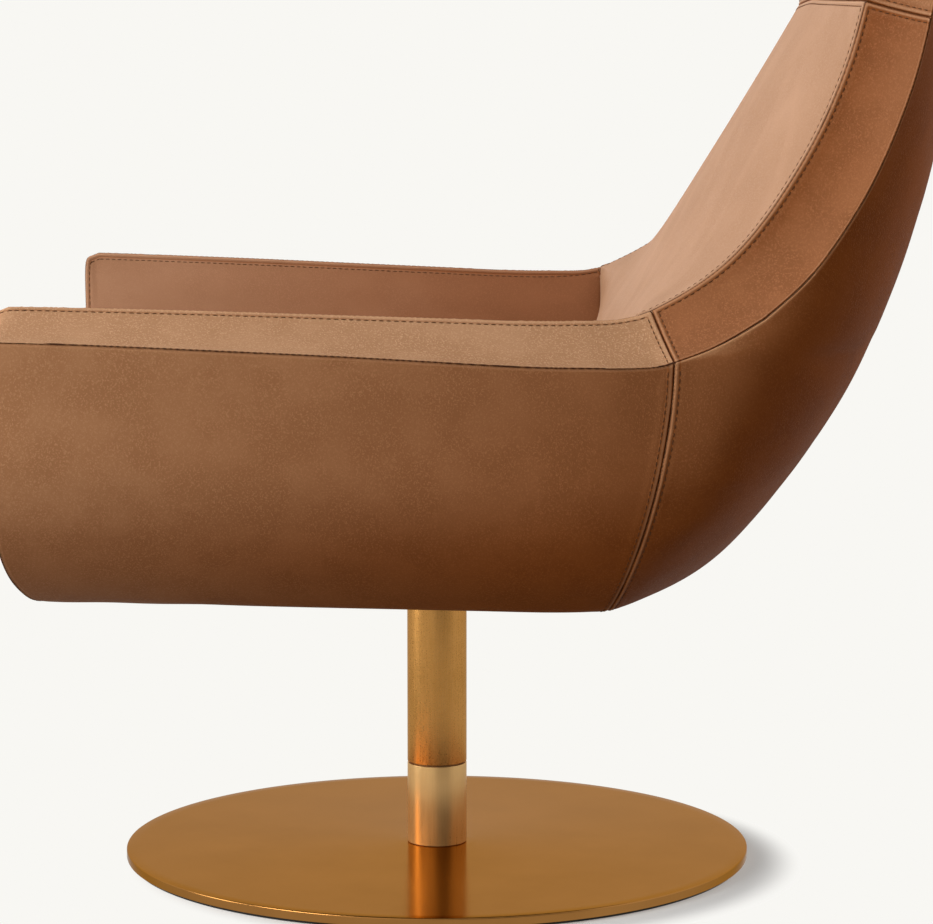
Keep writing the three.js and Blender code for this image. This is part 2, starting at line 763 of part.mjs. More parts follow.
// Front of the arm band: one place per row of the side, from the foot up to the corner
const frontStations = rowShares.map((drop) => {
  const setback = footSetback(drop);
  const outer = sidePoint(frontTop, frontTop.y, drop).addScaledVector(rearward, setback);
  const innerX = Math.min(innerFaceX(armFrontY), outer.x - footBandWidth);
  const inner = vec(innerX, armFrontY + setback, outer.z);
  const innerCore = inner.clone().addScaledVector(rearward, bandThickness);
  if (drop <= padFootShare) innerCore.addScaledVector(right, armPadThickness);
  const outerCore = outer.clone()
    .addScaledVector(rearward, bandThickness)
    .addScaledVector(sideNormal(frontTop, drop), skinThickness);
  return { drop, inner, outer, innerCore, outerCore };
});
const frontRow = (drop) => frontStations.find((place) => place.drop === drop);

// The rounded corner where the band turns from the arm's front to its top
const cornerInner = vec(innerFaceX(armFrontY), armFrontY, station(armCornerShare).inner.z);
const cornerCore = vec(
  cornerInner.x + armPadThickness,
  armFrontY + bandThickness,
  armStations[0].innerCore.z,
);
const outerCornerCore = vec(
  frontTop.x - skinThickness,
  frontTop.y + bandThickness,
  armStations[0].outerCore.z,
);
const diagonal = 1 - Math.SQRT1_2;
const cornerShares = [
  [0, 1],
  [diagonal, diagonal],
  [1, 0],
];
const [cornerFoot, cornerMiddle, cornerTop] = cornerShares.map(([back, fall], k) => {
  const place = (corner, radius) => corner.clone()
    .addScaledVector(rearward, radius * back)
    .addScaledVector(down, radius * fall);
  const shift = (core) => core.clone()
    .addScaledVector(rearward, seamCornerRadius * Math.max(0, k - 1))
    .addScaledVector(down, seamCornerRadius * Math.max(0, 1 - k));
  return {
    inner: place(cornerInner, armCornerRadius),
    outer: place(frontTop, seamCornerRadius),
    innerCore: shift(cornerCore),
    outerCore: shift(outerCornerCore),
  };
});

// Side panel: columns from the arm's front to the raked seam, rows from the rim down
const cornerDrop = seamCornerRadius / (frontTop.z - hullBottom(frontTop.y));
const sideRows = [0, cornerDrop, ...rowShares];
const armTops = [cornerMiddle, cornerTop, ...armStations, innerSeam, crossSeam];
const sideLast = armTops.length - 1;
const frontColumn = [cornerMiddle, cornerFoot, ...frontStations];
const sideFace = sideRows.map((drop, r) => armTops.map((top, c) => {
  if (r === 0) return top.outer.clone();
  if (c === 0) return frontColumn[r].outer.clone();
  const frontY = frontTop.y + footSetback(drop);
  return sidePoint(top.outer, mix(frontY, seamY(drop), depthShare(top.outer.y)), drop);
}));
const sideBack = sideRows.map((drop, r) => armTops.map((top, c) => {
  if (r === 0) return top.outerCore.clone();
  if (c === 0) return frontColumn[r].outerCore.clone();
  if (r === 1) return top.outerCore.clone().addScaledVector(down, seamCornerRadius);
  const point = sideFace[r][c].clone().addScaledVector(sideNormal(top.outer, drop), skinThickness);
  const frontY = frontColumn[r].outerCore.y + seamCornerRadius;
  return point.setY(Math.max(point.y, frontY));
}));
[sideFace, sideBack].forEach((grid) => {
  grid[1][sideLast].lerpVectors(grid[0][sideLast], grid[2][sideLast], cornerDrop / rowShares[0]);
});
addPair('side_panel', panel(sideFace, sideBack), leather);

// Inner arm pad: from the arm's front to the seam in the corner of the back
const padBottom = frontRow(padFootShare).inner.z;
const padColumn = [cornerMiddle, cornerFoot, ...frontStations.filter((s) => s.drop <= padFootShare)];
const padTops = [cornerMiddle, cornerTop, ...armStations, innerSeam];
const padRowShares = padColumn.map(({ inner }, r) => (
  r === 0 ? 0 : (cornerInner.z - inner.z) / (cornerInner.z - padBottom)
));
const padFace = padRowShares.map((share, r) => padTops.map((top, c) => {
  if (r === 0) return top.inner.clone();
  if (c === 0) return padColumn[r].inner.clone();
  return top.inner.clone().setZ(mix(top.inner.z, padBottom, share));
}));
const padBack = padRowShares.map((share, r) => padTops.map((top, c) => {
  if (r === 0) return top.innerCore.clone();
  if (c === 0) return padColumn[r].innerCore.clone();
  return top.innerCore.clone().setZ(mix(top.innerCore.z, padBottom, share));
}));
addPair('inner_arm', panel(padFace, padBack), leatherInner);

// Head: the rim turns inward round each corner and runs across the top
const headTurnZ = rimTopZ - headCornerRadius;
const headShareAt = (z) => solve((share) => rimAt(share).place.z, z, headSeamShare, 1);
const headTurnShare = headShareAt(headTurnZ);
const headFlatX = station(headTurnShare).inner.x - headCornerRadius;
function headStation(angle, flatShare) {
  const z = headTurnZ + headCornerRadius * Math.sin(angle);
  const side = station(headShareAt(z));
  const outward = vec(Math.cos(angle), 0, Math.sin(angle));
  const bow = headBow * (1 - flatShare ** 2);
  const inner = vec(headFlatX * flatShare + headCornerRadius * Math.cos(angle), side.inner.y + bow, z);
  const drop = side.outer.clone().sub(side.inner).dot(side.behind);
  const spread = Math.sqrt(bandWidth ** 2 - drop ** 2);
  const outer = inner.clone()
    .addScaledVector(side.behind, drop)
    .addScaledVector(outward, spread);
  const tangent = side.behind.clone().cross(outward).normalize();
  return { inner, outer, tangent, behind: side.behind, outward };
}
const headSide = [station(mix(headSeamShare, headTurnShare, 0.5))];
const headTurnCount = 5;
const headTurn = Array.from({ length: headTurnCount }, (_, k) => (
  headStation((k / headTurnCount) * Math.PI / 2, 1)
));
const topShares = [1, 0.8, 0.6, 0.4, 0.2, 0];
const headTop = topShares.map((share) => headStation(Math.PI / 2, share));
const flip = (point) => vec(-point.x, point.y, point.z);
const wholeRow = (row) => [...row, ...row.slice(0, -1).reverse().map(flip)];

// Inner back pad: crowned forward of its edges, straight and reclined in the middle
const backSlope = Math.tan(degrees(backRecline));
const crownY = (z) => backCrownY + (z - backCrownZ) * backSlope;
const crownPower = 2.6;
const backColumnShares = [1, 0.9, 0.75, 0.5, 0.25, 0];
function crownedRow(edge, middleY, middleZ) {
  return wholeRow(backColumnShares.map((share) => vec(
    edge.x * share,
    mix(middleY, edge.y, share ** crownPower),
    mix(middleZ, edge.z, share),
  )));
}
const backFootRows = padFace.slice(1).map((row, r) => ({
  inner: row.at(-1),
  innerCore: padBack[r + 1].at(-1),
})).reverse();
backFootRows[0] = {
  inner: backFootRows[0].inner.clone().setZ(backPadBottom),
  innerCore: backFootRows[0].innerCore.clone().setZ(backPadBottom),
};
const backRows = [...backFootRows, innerSeam, crossSeam, ...backStations, headSeam];
const backFace = backRows.map(({ inner }) => {
  const rise = (inner.z - crossSeam.inner.z) / (headSeam.inner.z - crossSeam.inner.z);
  const middleZ = inner.z + headSeamDip * Math.max(0, rise);
  return crownedRow(inner, crownY(middleZ), middleZ);
});
const headRows = [headSeam, ...headSide, ...headTurn];
const headFoot = backFace.at(-1)[backColumnShares.length - 1];
const headCrest = headTop.at(-1).inner;
const headFace = headRows.map(({ inner }, r) => {
  const share = (inner.z - headSeam.inner.z) / (headCrest.z - headSeam.inner.z);
  const middleY = mix(headFoot.y, headCrest.y, share) - headPadBulge * Math.sin(Math.PI * share);
  const middleZ = inner.z + headSeamDip * (1 - share);
  return r === 0 ? backFace.at(-1) : crownedRow(inner, middleY, middleZ);
});
headFace.push(wholeRow(headTop.map((place) => place.inner)));

// Back wrap: from one raked seam round the rear to the other, and up to the top of the back.
// Shares of the rear line's depth and height, from its bottom edge to its top.
const rearShares = [
  [0, 0],
  [0.171, 0.02],
  [0.307, 0.079],
  [0.428, 0.1425],
  [0.576, 0.221],
  [0.705, 0.306],
  [0.808, 0.3955],
  [0.902, 0.496],
  [0.97, 0.6335],
  [0.997, 0.76],
  [1, 0.86],
];
const rearBottomZ = hullBottom(rearBottomY);
const rearCrest = headTop.at(-1).outer;
const rearLine = new THREE.CatmullRomCurve3(
  [
    ...rearShares.map(([y, z]) => vec(0, mix(rearBottomY, rearBulgeY, y), mix(rearBottomZ, rearCrest.z, z))),
    rearCrest,
  ],
  false,
  'centripetal',
);
const rearY = (z) => rearLine.getPoint(solve((t) => rearLine.getPoint(t).z, z, 0, 1)).y;
const wrapPowerHigh = 2.3;
const wrapPowerLow = 1.25;
const wrapSteps = topShares.length - 1;
// One row, from the edge to the middle, turning from the edge angle to straight across
function wrapRow(edge, middleZ, edgeAngle, wrapPower, levelAt) {
  const lean = Math.cos(edgeAngle) ** (2 / wrapPower);
  const reach = Math.sin(edgeAngle) ** (2 / wrapPower);
  const middleY = rearY(middleZ);
  const centreY = (edge.y - middleY * lean) / (1 - lean);
  return wholeRow(Array.from({ length: wrapSteps + 1 }, (_, k) => {
    const angle = edgeAngle * (1 - k / wrapSteps);
    const x = (edge.x / reach) * Math.sin(angle) ** (2 / wrapPower);
    const y = centreY + (middleY - centreY) * Math.cos(angle) ** (2 / wrapPower);
    return vec(x, y, levelAt(y));
  }));
}
const wrapEdgeShares = [
  [0, 1],
  [0.25, 0.68],
  [1, 0.62],
];
const wrapFootRows = rowShares.map((drop, r) => ({
  edge: sideFace[r + 2][sideLast],
  core: sideBack[r + 2][sideLast],
  angle: Math.PI / 2,
  power: mix(wrapPowerHigh, wrapPowerLow, drop ** 2),
  levelAt: (y) => mix(crossSeam.outer.z, hullBottom(y), drop),
})).reverse();
wrapFootRows.forEach((row) => {
  row.middleZ = solve((z) => z - row.levelAt(rearY(z)), 0, rearBottomZ, rearCrest.z);
});
const wrapStations = [crossSeam, ...backStations, headSeam, ...headSide, ...headTurn];
const wrapRows = [...wrapFootRows, ...wrapStations.map((place) => {
  const rise = (place.outer.z - crossSeam.outer.z) / (rearCrest.z - crossSeam.outer.z);
  return {
    edge: place.outer,
    middleZ: place.outer.z,
    angle: (Math.PI / 2) * along(wrapEdgeShares, rise),
    power: wrapPowerHigh,
    levelAt: () => place.outer.z,
    place,
  };
})];
const wrapFace = wrapRows.map((row) => wrapRow(row.edge, row.middleZ, row.angle, row.power, row.levelAt));
wrapFace.push(wholeRow(headTop.map((place) => place.outer)));

// Band cores of the back and head, from the way its neighbours leave it
const wayIn = (grid, place, from) => {
  const row = grid.find((line) => line[0] === place[from] || line[0].distanceTo(place[from]) < clearance);
  return row[1].clone().sub(row[0]);
};
[...backStations, headSeam].forEach((place) => {
  setCores(place, wayIn(backFace, place, 'inner'), wayIn(wrapFace, place, 'outer'));
});
[...headSide, ...headTurn].forEach((place) => {
  setCores(place, wayIn(headFace, place, 'inner'), wayIn(wrapFace, place, 'outer'));
});
headTop.forEach((place, c) => {
  const way = (grid) => grid.at(-3)[c].clone().sub(grid.at(-1)[c]);
  setCores(place, way(headFace), way(wrapFace));
});
const crossWay = wayIn(backFace, crossSeam, 'inner');
crossSeam.innerCore = mitre(
  crossSeam.inner,
  crossSeam.outer.clone().sub(crossSeam.inner),
  crossWay,
  crossSeam.tangent,
  armPadThickness,
);
crossSeam.innerCore.addScaledVector(
  crossSeam.tangent,
  (innerSeam.innerCore.y + seamCornerRadius - crossSeam.innerCore.y) / crossSeam.tangent.y,
);

const flatRow = (core) => wholeRow(backColumnShares.map((share) => core.clone().setX(core.x * share)));
const backBack = backRows.map((place) => flatRow(place.innerCore));
add('inner_back', panel(backFace, backBack), leatherInner);
const headBack = headRows.map((place) => flatRow(place.innerCore));
headBack.push(wholeRow(headTop.map((place) => place.innerCore)));
add('head_panel', panel(headFace, headBack), leatherInner);

function gridNormal(grid, r, c) {
  const rise = grid[Math.min(grid.length - 1, r + 1)][c].clone().sub(grid[Math.max(0, r - 1)][c]);
  const run = grid[r][c + 1].clone().sub(grid[r][c - 1]);
  const normal = rise.cross(run).normalize();
  return normal.y > 0 ? normal.negate() : normal;
}
const wrapBack = wrapFace.slice(0, -1).map((line, r) => line.map((point, c) => {
  const core = wrapRows[r].core ?? wrapRows[r].place.outerCore;
  if (c === 0) return core.clone();
  if (c === line.length - 1) return flip(core);
  return point.clone().addScaledVector(gridNormal(wrapFace, r, c), skinThickness);
}));
wrapBack.push(wholeRow(headTop.map((place) => place.outerCore)));
add('back_wrap', panel(wrapFace, wrapBack), leather);

// The band in five lengths: two arms, two back edges and the head
const bandShares = [0, 0.25, 0.5, 0.75, 1];
function band(places) {
  const tangents = places.map((_, k) => places[Math.min(places.length - 1, k + 1)].inner.clone()
    .sub(places[Math.max(0, k - 1)].inner));
  const face = places.map(({ inner, outer }, k) => {
    const crownWay = tangents[k].cross(outer.clone().sub(inner)).normalize();
    return bandShares.map((share) => inner.clone().lerp(outer, share)
      .addScaledVector(crownWay, bandCrown * 4 * share * (1 - share)));
  });
  const back = places.map(({ innerCore, outerCore }) => (
    bandShares.map((share) => innerCore.clone().lerp(outerCore, share))
  ));
  return panel(face, back);
}
const cornerPlaces = [cornerFoot, cornerMiddle, cornerTop];
const armPlaces = [...frontStations].reverse().concat(cornerPlaces, armStations, innerSeam, crossSeam);
addPair('arm_band', band(armPlaces), leatherBand);
addPair('back_band', band([crossSeam, ...backStations, headSeam]), leatherBand);
const flipPlace = (place) => ({
  inner: flip(place.inner),
  outer: flip(place.outer),
  innerCore: flip(place.innerCore),
  outerCore: flip(place.outerCore),
});
const headPlaces = [...headRows, ...headTop];
const headBand = band([...headPlaces, ...headPlaces.slice(0, -1).reverse().map(flipPlace)]);
add('head_band', headBand, leatherBand);

// Front panel below the cushion, between the feet of the band
const panelPlaces = frontStations.filter((place) => place.drop >= panelTopShare);
const panelShares = [1, 0.5, 0];
const across = (point) => wholeRow(panelShares.map((share) => point.clone().setX(point.x * share)));
const frontFace = panelPlaces.map((place) => across(place.inner));
const frontBack = panelPlaces.map((place) => across(place.innerCore));
add('front_panel', panel(frontFace, frontBack), leather);

// Dust cover over the bottom, open round the rocker
const coverRing = (lift) => {
  const edge = (face, back) => face.map((point, k) => point.clone().lerp(back[k], 0.4));
  const frontY = frontRow(1).outerCore.y + clearance * 2;
  const sides = edge(sideFace.at(-1), sideBack.at(-1)).filter(({ y }) => y > frontY + bandThickness);
  const corner = vec(sides[0].x - coverRecess * 2, frontY, sides[0].z);
  const rightEdge = [corner, ...sides, ...edge(wrapFace[0], wrapBack[0]).slice(1, wrapSteps + 1)];
  const ring = [...rightEdge, ...rightEdge.slice(0, -1).reverse().map(flip)];
  return ring.map((point, k) => {
    const next = ring[(k + 1) % ring.length];
    const before = ring[(k + ring.length - 1) % ring.length];
    const inward = vec(before.y - next.y, next.x - before.x, 0).setLength(clearance * 2);
    return point.clone().add(inward).setZ(hullBottom(point.y) + lift);
  });
};
const openingX = yokeWidth / 2 + coverSideMargin;
const openingY = yokeLength / 2 + coverOpeningMargin;
const coverBody = loft([coverRing(coverRecess), coverRing(coverRecess + coverThickness)]);
const coverHole = block(
  vec(-openingX, -openingY, hullBottom(rearBottomY) - cutOverrun),
  vec(openingX, openingY, deckHeight),
);
add('dust_cover', cut(coverBody, coverHole), lining);

// Boards across the seat. Their ends follow the inside of the shell.
const hullGrid = sideBack.slice(2).map((row, r) => [
  ...row,
  ...wrapBack[rowShares.length - 1 - r].slice(1, wrapSteps + 1),
]);
function skinLine(y) {
  return hullGrid.map((row) => {
    const k = row.findIndex((p, i) => i + 1 < row.length && p.y <= y && row[i + 1].y > y);
    return k < 0 ? null : row[k].clone().lerp(row[k + 1], (y - row[k].y) / (row[k + 1].y - row[k].y));
  }).filter(Boolean);
}
const boardShares = [1, 0.8, 0.6, 0.4, 0.2, 0];
const boardTop = deckHeight - clearance;
function boardRing(y, bottom) {
  const line = skinLine(y);
  const low = Math.max(bottom, Math.min(...line.map((p) => p.z)) + clearance * 2);
  const edge = boardShares.map((share) => {
    const z = mix(low, boardTop, share);
    const level = z - clearance;
    const k = line.findIndex((p, i) => i + 1 < line.length && (p.z - level) * (line[i + 1].z - level) <= 0);
    const skin = line[k].clone().lerp(line[k + 1], (level - line[k].z) / (line[k + 1].z - line[k].z));
    return vec(skin.x - clearance, y, z);
  });
  return [...edge, ...edge.map(flip).reverse()];
}
const board = (y, thickness, bottom) => loft(
  [y, y + thickness].map((depth) => boardRing(depth, bottom)),
);
add('front_former', board(frontFormerY, formerThickness, 0), plywood);
add('rear_former', board(railRearY + clearance, formerThickness, 0), plywood);

const railFaceY = plateHalfLength + clearance;
[['front', -railFaceY - crossRailSize], ['rear', railFaceY]].forEach(([place, y]) => {
  const rail = board(y, crossRailSize, crossRailBottom);
  add(`cross_rail_${place}`, cut(rail, ...boltHoles), plywood);
});

// Side rails on the front board and the cross rails, toed in with the arms
const railSection = [
  [-railReach, 0],
  [railFoot - railReach, 0],
  [railFoot + (railWidth - railFoot) / 2 - railReach, railShoulder],
  [railWidth - railReach, railHeight],
  [-railReach, railHeight],
];
const sideRail = loft([frontFormerY, railRearY].map((y) => (
  railSection.map(([reach, rise]) => vec(innerFaceX(y) + reach, y, deckHeight + rise))
)));
addPair('side_rail', sideRail, plywood);

// Arm frames stand on the side rails behind the arm pads
const frameFoot = deckHeight + railHeight + clearance;
function frameTopZ(y, reach) {
  const k = Math.max(0, armStations.findIndex((p, i) => armStations[i + 1]?.innerCore.y > y));
  const [before, after] = [armStations[k], armStations[k + 1]];
  const share = (y - before.innerCore.y) / (after.innerCore.y - before.innerCore.y);
  const inner = before.innerCore.clone().lerp(after.innerCore, share);
  const outer = before.outerCore.clone().lerp(after.outerCore, share);
  return mix(inner.z, outer.z, (innerFaceX(y) + reach - inner.x) / (outer.x - inner.x)) - clearance;
}
const frameDepths = [
  frontFormerY,
  ...armStations.map((place) => place.innerCore.y).filter((y) => y > frontFormerY && y < armFrameRearY),
  armFrameRearY,
];
const frameReaches = [armPadThickness + clearance, armPadThickness + clearance + armFrameThickness];
const armFrame = loft(frameReaches.map((reach) => {
  const top = frameDepths.map((y) => vec(innerFaceX(y) + reach, y, frameTopZ(y, reach)));
  return [top[0].clone().setZ(frameFoot), ...top, top.at(-1).clone().setZ(frameFoot)];
}));
addPair('arm_frame', armFrame, plywood);

// Back frame: one bent tube, up from the rear board and across the top
const framePlace = (depthShare) => {
  const place = station(depthShare);
  return place.inner.clone().addScaledVector(place.behind, frameDepth).addScaledVector(right, -frameInset);
};
const tubeRadius = frameTubeDiameter / 2;
const frameCrestZ = rimTopZ - frameTopDrop;
const frameTurnZ = frameCrestZ - frameCornerRadius;
const frameShares = [0.7962, 0.8328, 0.8715, 0.904, 0.9297, 0.9483];
const frameShareAt = (z) => solve((share) => framePlace(share).z, z, frameShares[2], 1);
const frameTurn = framePlace(frameShareAt(frameTurnZ));
const frameCornerShares = [0, 0.25, 0.5, 0.75, 1];
const frameCorner = frameCornerShares.map((share) => {
  const angle = share * Math.PI / 2;
  const z = frameTurnZ + frameCornerRadius * Math.sin(angle);
  return framePlace(frameShareAt(z)).setX(frameTurn.x - frameCornerRadius * (1 - Math.cos(angle)));
});
const frameStand = vec(seatHalfWidth - frameFootInset, railRearY + clearance + tubeRadius, deckHeight);
const frameRise = framePlace(frameShares[0]);
const frameKnee = vec(
  mix(frameStand.x, frameRise.x, 0.5),
  crossSeam.innerCore.y + tubeRadius + clearance * 2,
  backPadBottom,
);
const frameRight = [
  frameStand,
  frameStand.clone().setZ(deckHeight + tubeRadius / 2),
  frameKnee,
  frameKnee.clone().lerp(frameRise, 0.4).setY(mix(frameKnee.y, frameRise.y, 0.1)),
  ...frameShares.map(framePlace),
  ...frameCorner,
];
const frameMiddle = frameCorner.at(-1).clone().setX(0);
const framePath = new THREE.CatmullRomCurve3(
  [...frameRight, frameMiddle, ...[...frameRight].reverse().map(flip)],
  false,
  'centripetal',
);
const tubeSection = new THREE.Shape().absarc(0, 0, tubeRadius, 0, 2 * Math.PI);
const backFrame = new THREE.ExtrudeGeometry(tubeSection, {
  steps: 52,
  curveSegments: 4,
  extrudePath: framePath,
  bevelEnabled: false,
});
add('back_frame', backFrame, blackSteel);

// Sling across the front of the back frame
const slingShares = [0.845, 0.8643, 0.8785, 0.904, 0.9297, 0.9483, 0.9661];
const slingDepth = frameDepth - tubeRadius - clearance;
const slingRow = (depth) => slingShares.map((depthShare) => {
  const place = station(depthShare);
  const edge = place.inner.clone()
    .addScaledVector(place.behind, depth)
    .addScaledVector(right, tubeRadius - frameInset);
  return [edge, edge.clone().setX(0), flip(edge)];
});
add('back_sling', panel(slingRow(slingDepth - slingThickness), slingRow(slingDepth)), webbing);

// Webbing deck between the side rails
const deckHalfWidth = (y) => innerFaceX(y) - railReach - clearance;
const deckPlate = (shares, depths, low, high) => loft([low, high].map((z) => [
  vec(shares[0] * deckHalfWidth(depths[0]), depths[0], z),
  vec(shares[1] * deckHalfWidth(depths[0]), depths[0], z),
  vec(shares[1] * deckHalfWidth(depths[1]), depths[1], z),
  vec(shares[0] * deckHalfWidth(depths[1]), depths[1], z),
]));
const deckColumnCount = 6;
const deckRowCount = 5;
const strapShare = webStrap / deckHalfWidth(railRearY);
const windowShare = (2 - strapShare * (deckColumnCount + 1)) / deckColumnCount;
const windowLength = (railRearY - frontFormerY - webStrap * (deckRowCount + 1)) / deckRowCount;
const windows = [];
for (let row = 0; row < deckRowCount; row += 1) {
  for (let column = 0; column < deckColumnCount; column += 1) {
    const y = frontFormerY + webStrap + row * (windowLength + webStrap);
    const share = strapShare - 1 + column * (windowShare + strapShare);
    const window = [share, share + windowShare];
    windows.push(deckPlate(window, [y, y + windowLength], deckHeight - cutOverrun, deckHeight + cutOverrun));
  }
}
const deck = deckPlate([-1, 1], [frontFormerY, railRearY], deckHeight, deckHeight + deckThickness);
add('seat_webbing', cut(deck, ...windows), webbing);

// Seat cushion: rings from the bottom up. It follows the inner arms and the inner back.
function cushionRing(z, inset) {
  const front = cushionFrontY + inset;
  const halfWidth = (y) => innerFaceX(y) - cushionSideGap - inset;
  const rearAt = (x) => {
    const edge = innerSeam.inner;
    const share = Math.min(1, Math.abs(x) / edge.x);
    return mix(crownY(z), edge.y, share ** crownPower) - cushionRearGap - Math.max(0, inset);
  };
  const frontX = halfWidth(front + cushionFrontRadius) - cushionFrontRadius;
  const rearX = halfWidth(innerSeam.inner.y) - cushionRearRadius;
  const rearCentre = rearAt(rearX) - cushionRearRadius;
  const arc = (x, y, radius, start, steps) => Array.from({ length: steps + 1 }, (_, k) => {
    const angle = start + (k / steps) * Math.PI / 2;
    return vec(x + radius * Math.cos(angle), y + radius * Math.sin(angle), z);
  });
  const sideY = [0.3, 0.65].map((share) => mix(front + cushionFrontRadius, rearCentre, share));
  const half = [
    ...[0, 0.35, 0.7].map((share) => vec(frontX * share, front, z)),
    ...arc(frontX, front + cushionFrontRadius, cushionFrontRadius, -Math.PI / 2, 4),
    ...sideY.map((y) => vec(halfWidth(y), y, z)),
    ...arc(rearX, rearCentre, cushionRearRadius, 0, 3),
    ...[0.75, 0.5, 0.25, 0].map((share) => vec(rearX * share, rearAt(rearX * share), z)),
  ];
  return [...half, ...half.slice(1, -1).reverse().map(flip)];
}
// Shares of the height from the deck to the crown, and of how far the crown is drawn in
const cushionFoot = deckHeight + deckThickness + clearance;
const cushionRingShares = [
  [0, 0.073],
  [0.02, 0.024],
  [0.08, 0],
  [0.25, 0.012],
  [0.38, 0.006],
  [0.45, -0.03],
  [0.62, -0.042],
  [0.74, -0.03],
  [0.79, -0.018],
  [0.845, 0.036],
  [0.905, 0.158],
  [0.95, 0.364],
  [0.985, 0.667],
  [1, 1],
];
add('seat_cushion', loft(cushionRingShares.map(([rise, inset]) => (
  cushionRing(mix(cushionFoot, deckHeight + cushionRise, rise), cushionCrownInset * inset)
))), leatherInner);

export default chair;
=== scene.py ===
"""A swivel rocker: a leather tub chair on a brass column and floor disc, dressed over its CAD frame.
Metres, +Z up. The sitter faces -Y, and the camera stands at +X, beside the chair."""
import json
import math

import bmesh
import bpy
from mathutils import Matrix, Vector, kdtree, noise
from mathutils.bvhtree import BVHTree


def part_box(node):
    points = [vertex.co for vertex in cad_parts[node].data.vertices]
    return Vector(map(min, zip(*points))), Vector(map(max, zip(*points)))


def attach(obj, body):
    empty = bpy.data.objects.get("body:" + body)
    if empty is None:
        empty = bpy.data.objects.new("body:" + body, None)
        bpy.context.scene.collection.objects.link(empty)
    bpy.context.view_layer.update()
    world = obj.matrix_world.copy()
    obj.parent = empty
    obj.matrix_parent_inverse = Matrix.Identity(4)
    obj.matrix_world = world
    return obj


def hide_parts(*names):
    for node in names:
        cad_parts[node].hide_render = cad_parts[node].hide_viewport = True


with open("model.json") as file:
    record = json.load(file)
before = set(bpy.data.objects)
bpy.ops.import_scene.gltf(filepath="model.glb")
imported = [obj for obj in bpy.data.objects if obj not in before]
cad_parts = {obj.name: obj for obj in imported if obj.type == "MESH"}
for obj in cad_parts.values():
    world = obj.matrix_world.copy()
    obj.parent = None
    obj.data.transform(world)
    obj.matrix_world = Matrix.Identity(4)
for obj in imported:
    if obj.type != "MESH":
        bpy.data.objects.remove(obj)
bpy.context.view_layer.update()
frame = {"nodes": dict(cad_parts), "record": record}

scene = bpy.context.scene
nodes = frame["nodes"]

# Camera: at shoulder height beside the chair, with a long lens that looks a little down at it.
# Its place and lens were fitted to the floor disc's ellipse and to the column.
eye = Vector((3.24443, 0, 0.77387))
yaw, pitch = 0.0087814, 0.1202381
lens = 131.576
ahead = Vector((-math.cos(yaw) * math.cos(pitch), math.sin(yaw) * math.cos(pitch), -math.sin(pitch)))
camera = bpy.data.objects.new("camera", bpy.data.cameras.new("camera"))
scene.collection.objects.link(camera)
scene.camera = camera
camera.location = eye
camera.rotation_euler = ahead.to_track_quat("-Z", "Y").to_euler()
camera.data.sensor_width = 36
camera.data.lens = lens
camera.data.clip_end = 100
scene.view_settings.view_transform = "Standard"


# Studio: a pale sweep of paper under an even pale sky. The camera sees one tone on both.
# The brass mirrors a dimmer sky with one dark flag in it, and the disc shades the floor under it.
class Wire:
    """One output of a shader node. Arithmetic on it adds Math nodes."""

    def __init__(self, tree, socket):
        self.tree = tree
        self.socket = socket

    def node(self, kind, inputs=None, output=0, **settings):
        """A new node with these inputs, by name or number, and settings. Gives one of its outputs."""
        new = self.tree.nodes.new(kind)
        for name, value in settings.items():
            setattr(new, name, value)
        for name, value in (inputs or {}).items():
            if isinstance(value, Wire):
                self.tree.links.new(value.socket, new.inputs[name])
            else:
                new.inputs[name].default_value = value
        return Wire(self.tree, new.outputs[output])

    def math(self, operation, *others):
        inputs = dict(enumerate([self, *others]))
        return self.node("ShaderNodeMath", inputs, operation=operation)

    def __add__(self, other):
        return self.math("ADD", other)

    def __radd__(self, other):
        return self.math("ADD", other)

    def __sub__(self, other):
        return self.math("SUBTRACT", other)

    def __rsub__(self, other):
        return (self * -1) + other

    def __mul__(self, other):
        return self.math("MULTIPLY", other)

    def __rmul__(self, other):
        return self.math("MULTIPLY", other)

    def ramp(self, low, high, start=0.0, end=1.0):
        """Goes smoothly from start at low to end at high."""
        inputs = {"Value": self, "From Min": low, "From Max": high, "To Min": start, "To Max": end}
        return self.node("ShaderNodeMapRange", inputs, interpolation_type="SMOOTHSTEP")

    def blend(self, first, second):
        """Two colours mixed by this value."""
        return self.node("ShaderNodeMix", {0: self, 6: first, 7: second}, output=2, data_type="RGBA")


def colour(red, green, blue):
    return (red, green, blue, 1.0)


pale = colour(0.940, 0.930, 0.896)
sky_dim = colour(0.15, 0.148, 0.145)
sky_mirrored = colour(0.86, 0.84, 0.80)
flag_dark = colour(0.10, 0.09, 0.08)
flag_direction = (0.90, 0.43, 0.05)
world = bpy.data.worlds.new("studio")
scene.world = world
world.use_nodes = True
tree = world.node_tree
rays = tree.nodes.new("ShaderNodeLightPath")
seen = Wire(tree, rays.outputs["Is Camera Ray"])
reflected = Wire(tree, rays.outputs["Is Glossy Ray"])
toward = Wire(tree, tree.nodes.new("ShaderNodeTexCoord").outputs["Generated"])
aim = {0: toward, 1: flag_direction}
flag = toward.node("ShaderNodeVectorMath", aim, output="Value", operation="DOT_PRODUCT").ramp(0.70, 0.97)
sky_light = reflected.blend(sky_dim, flag.blend(sky_mirrored, flag_dark))
tree.links.new(seen.blend(sky_light, pale).socket, tree.nodes["Background"].inputs["Color"])

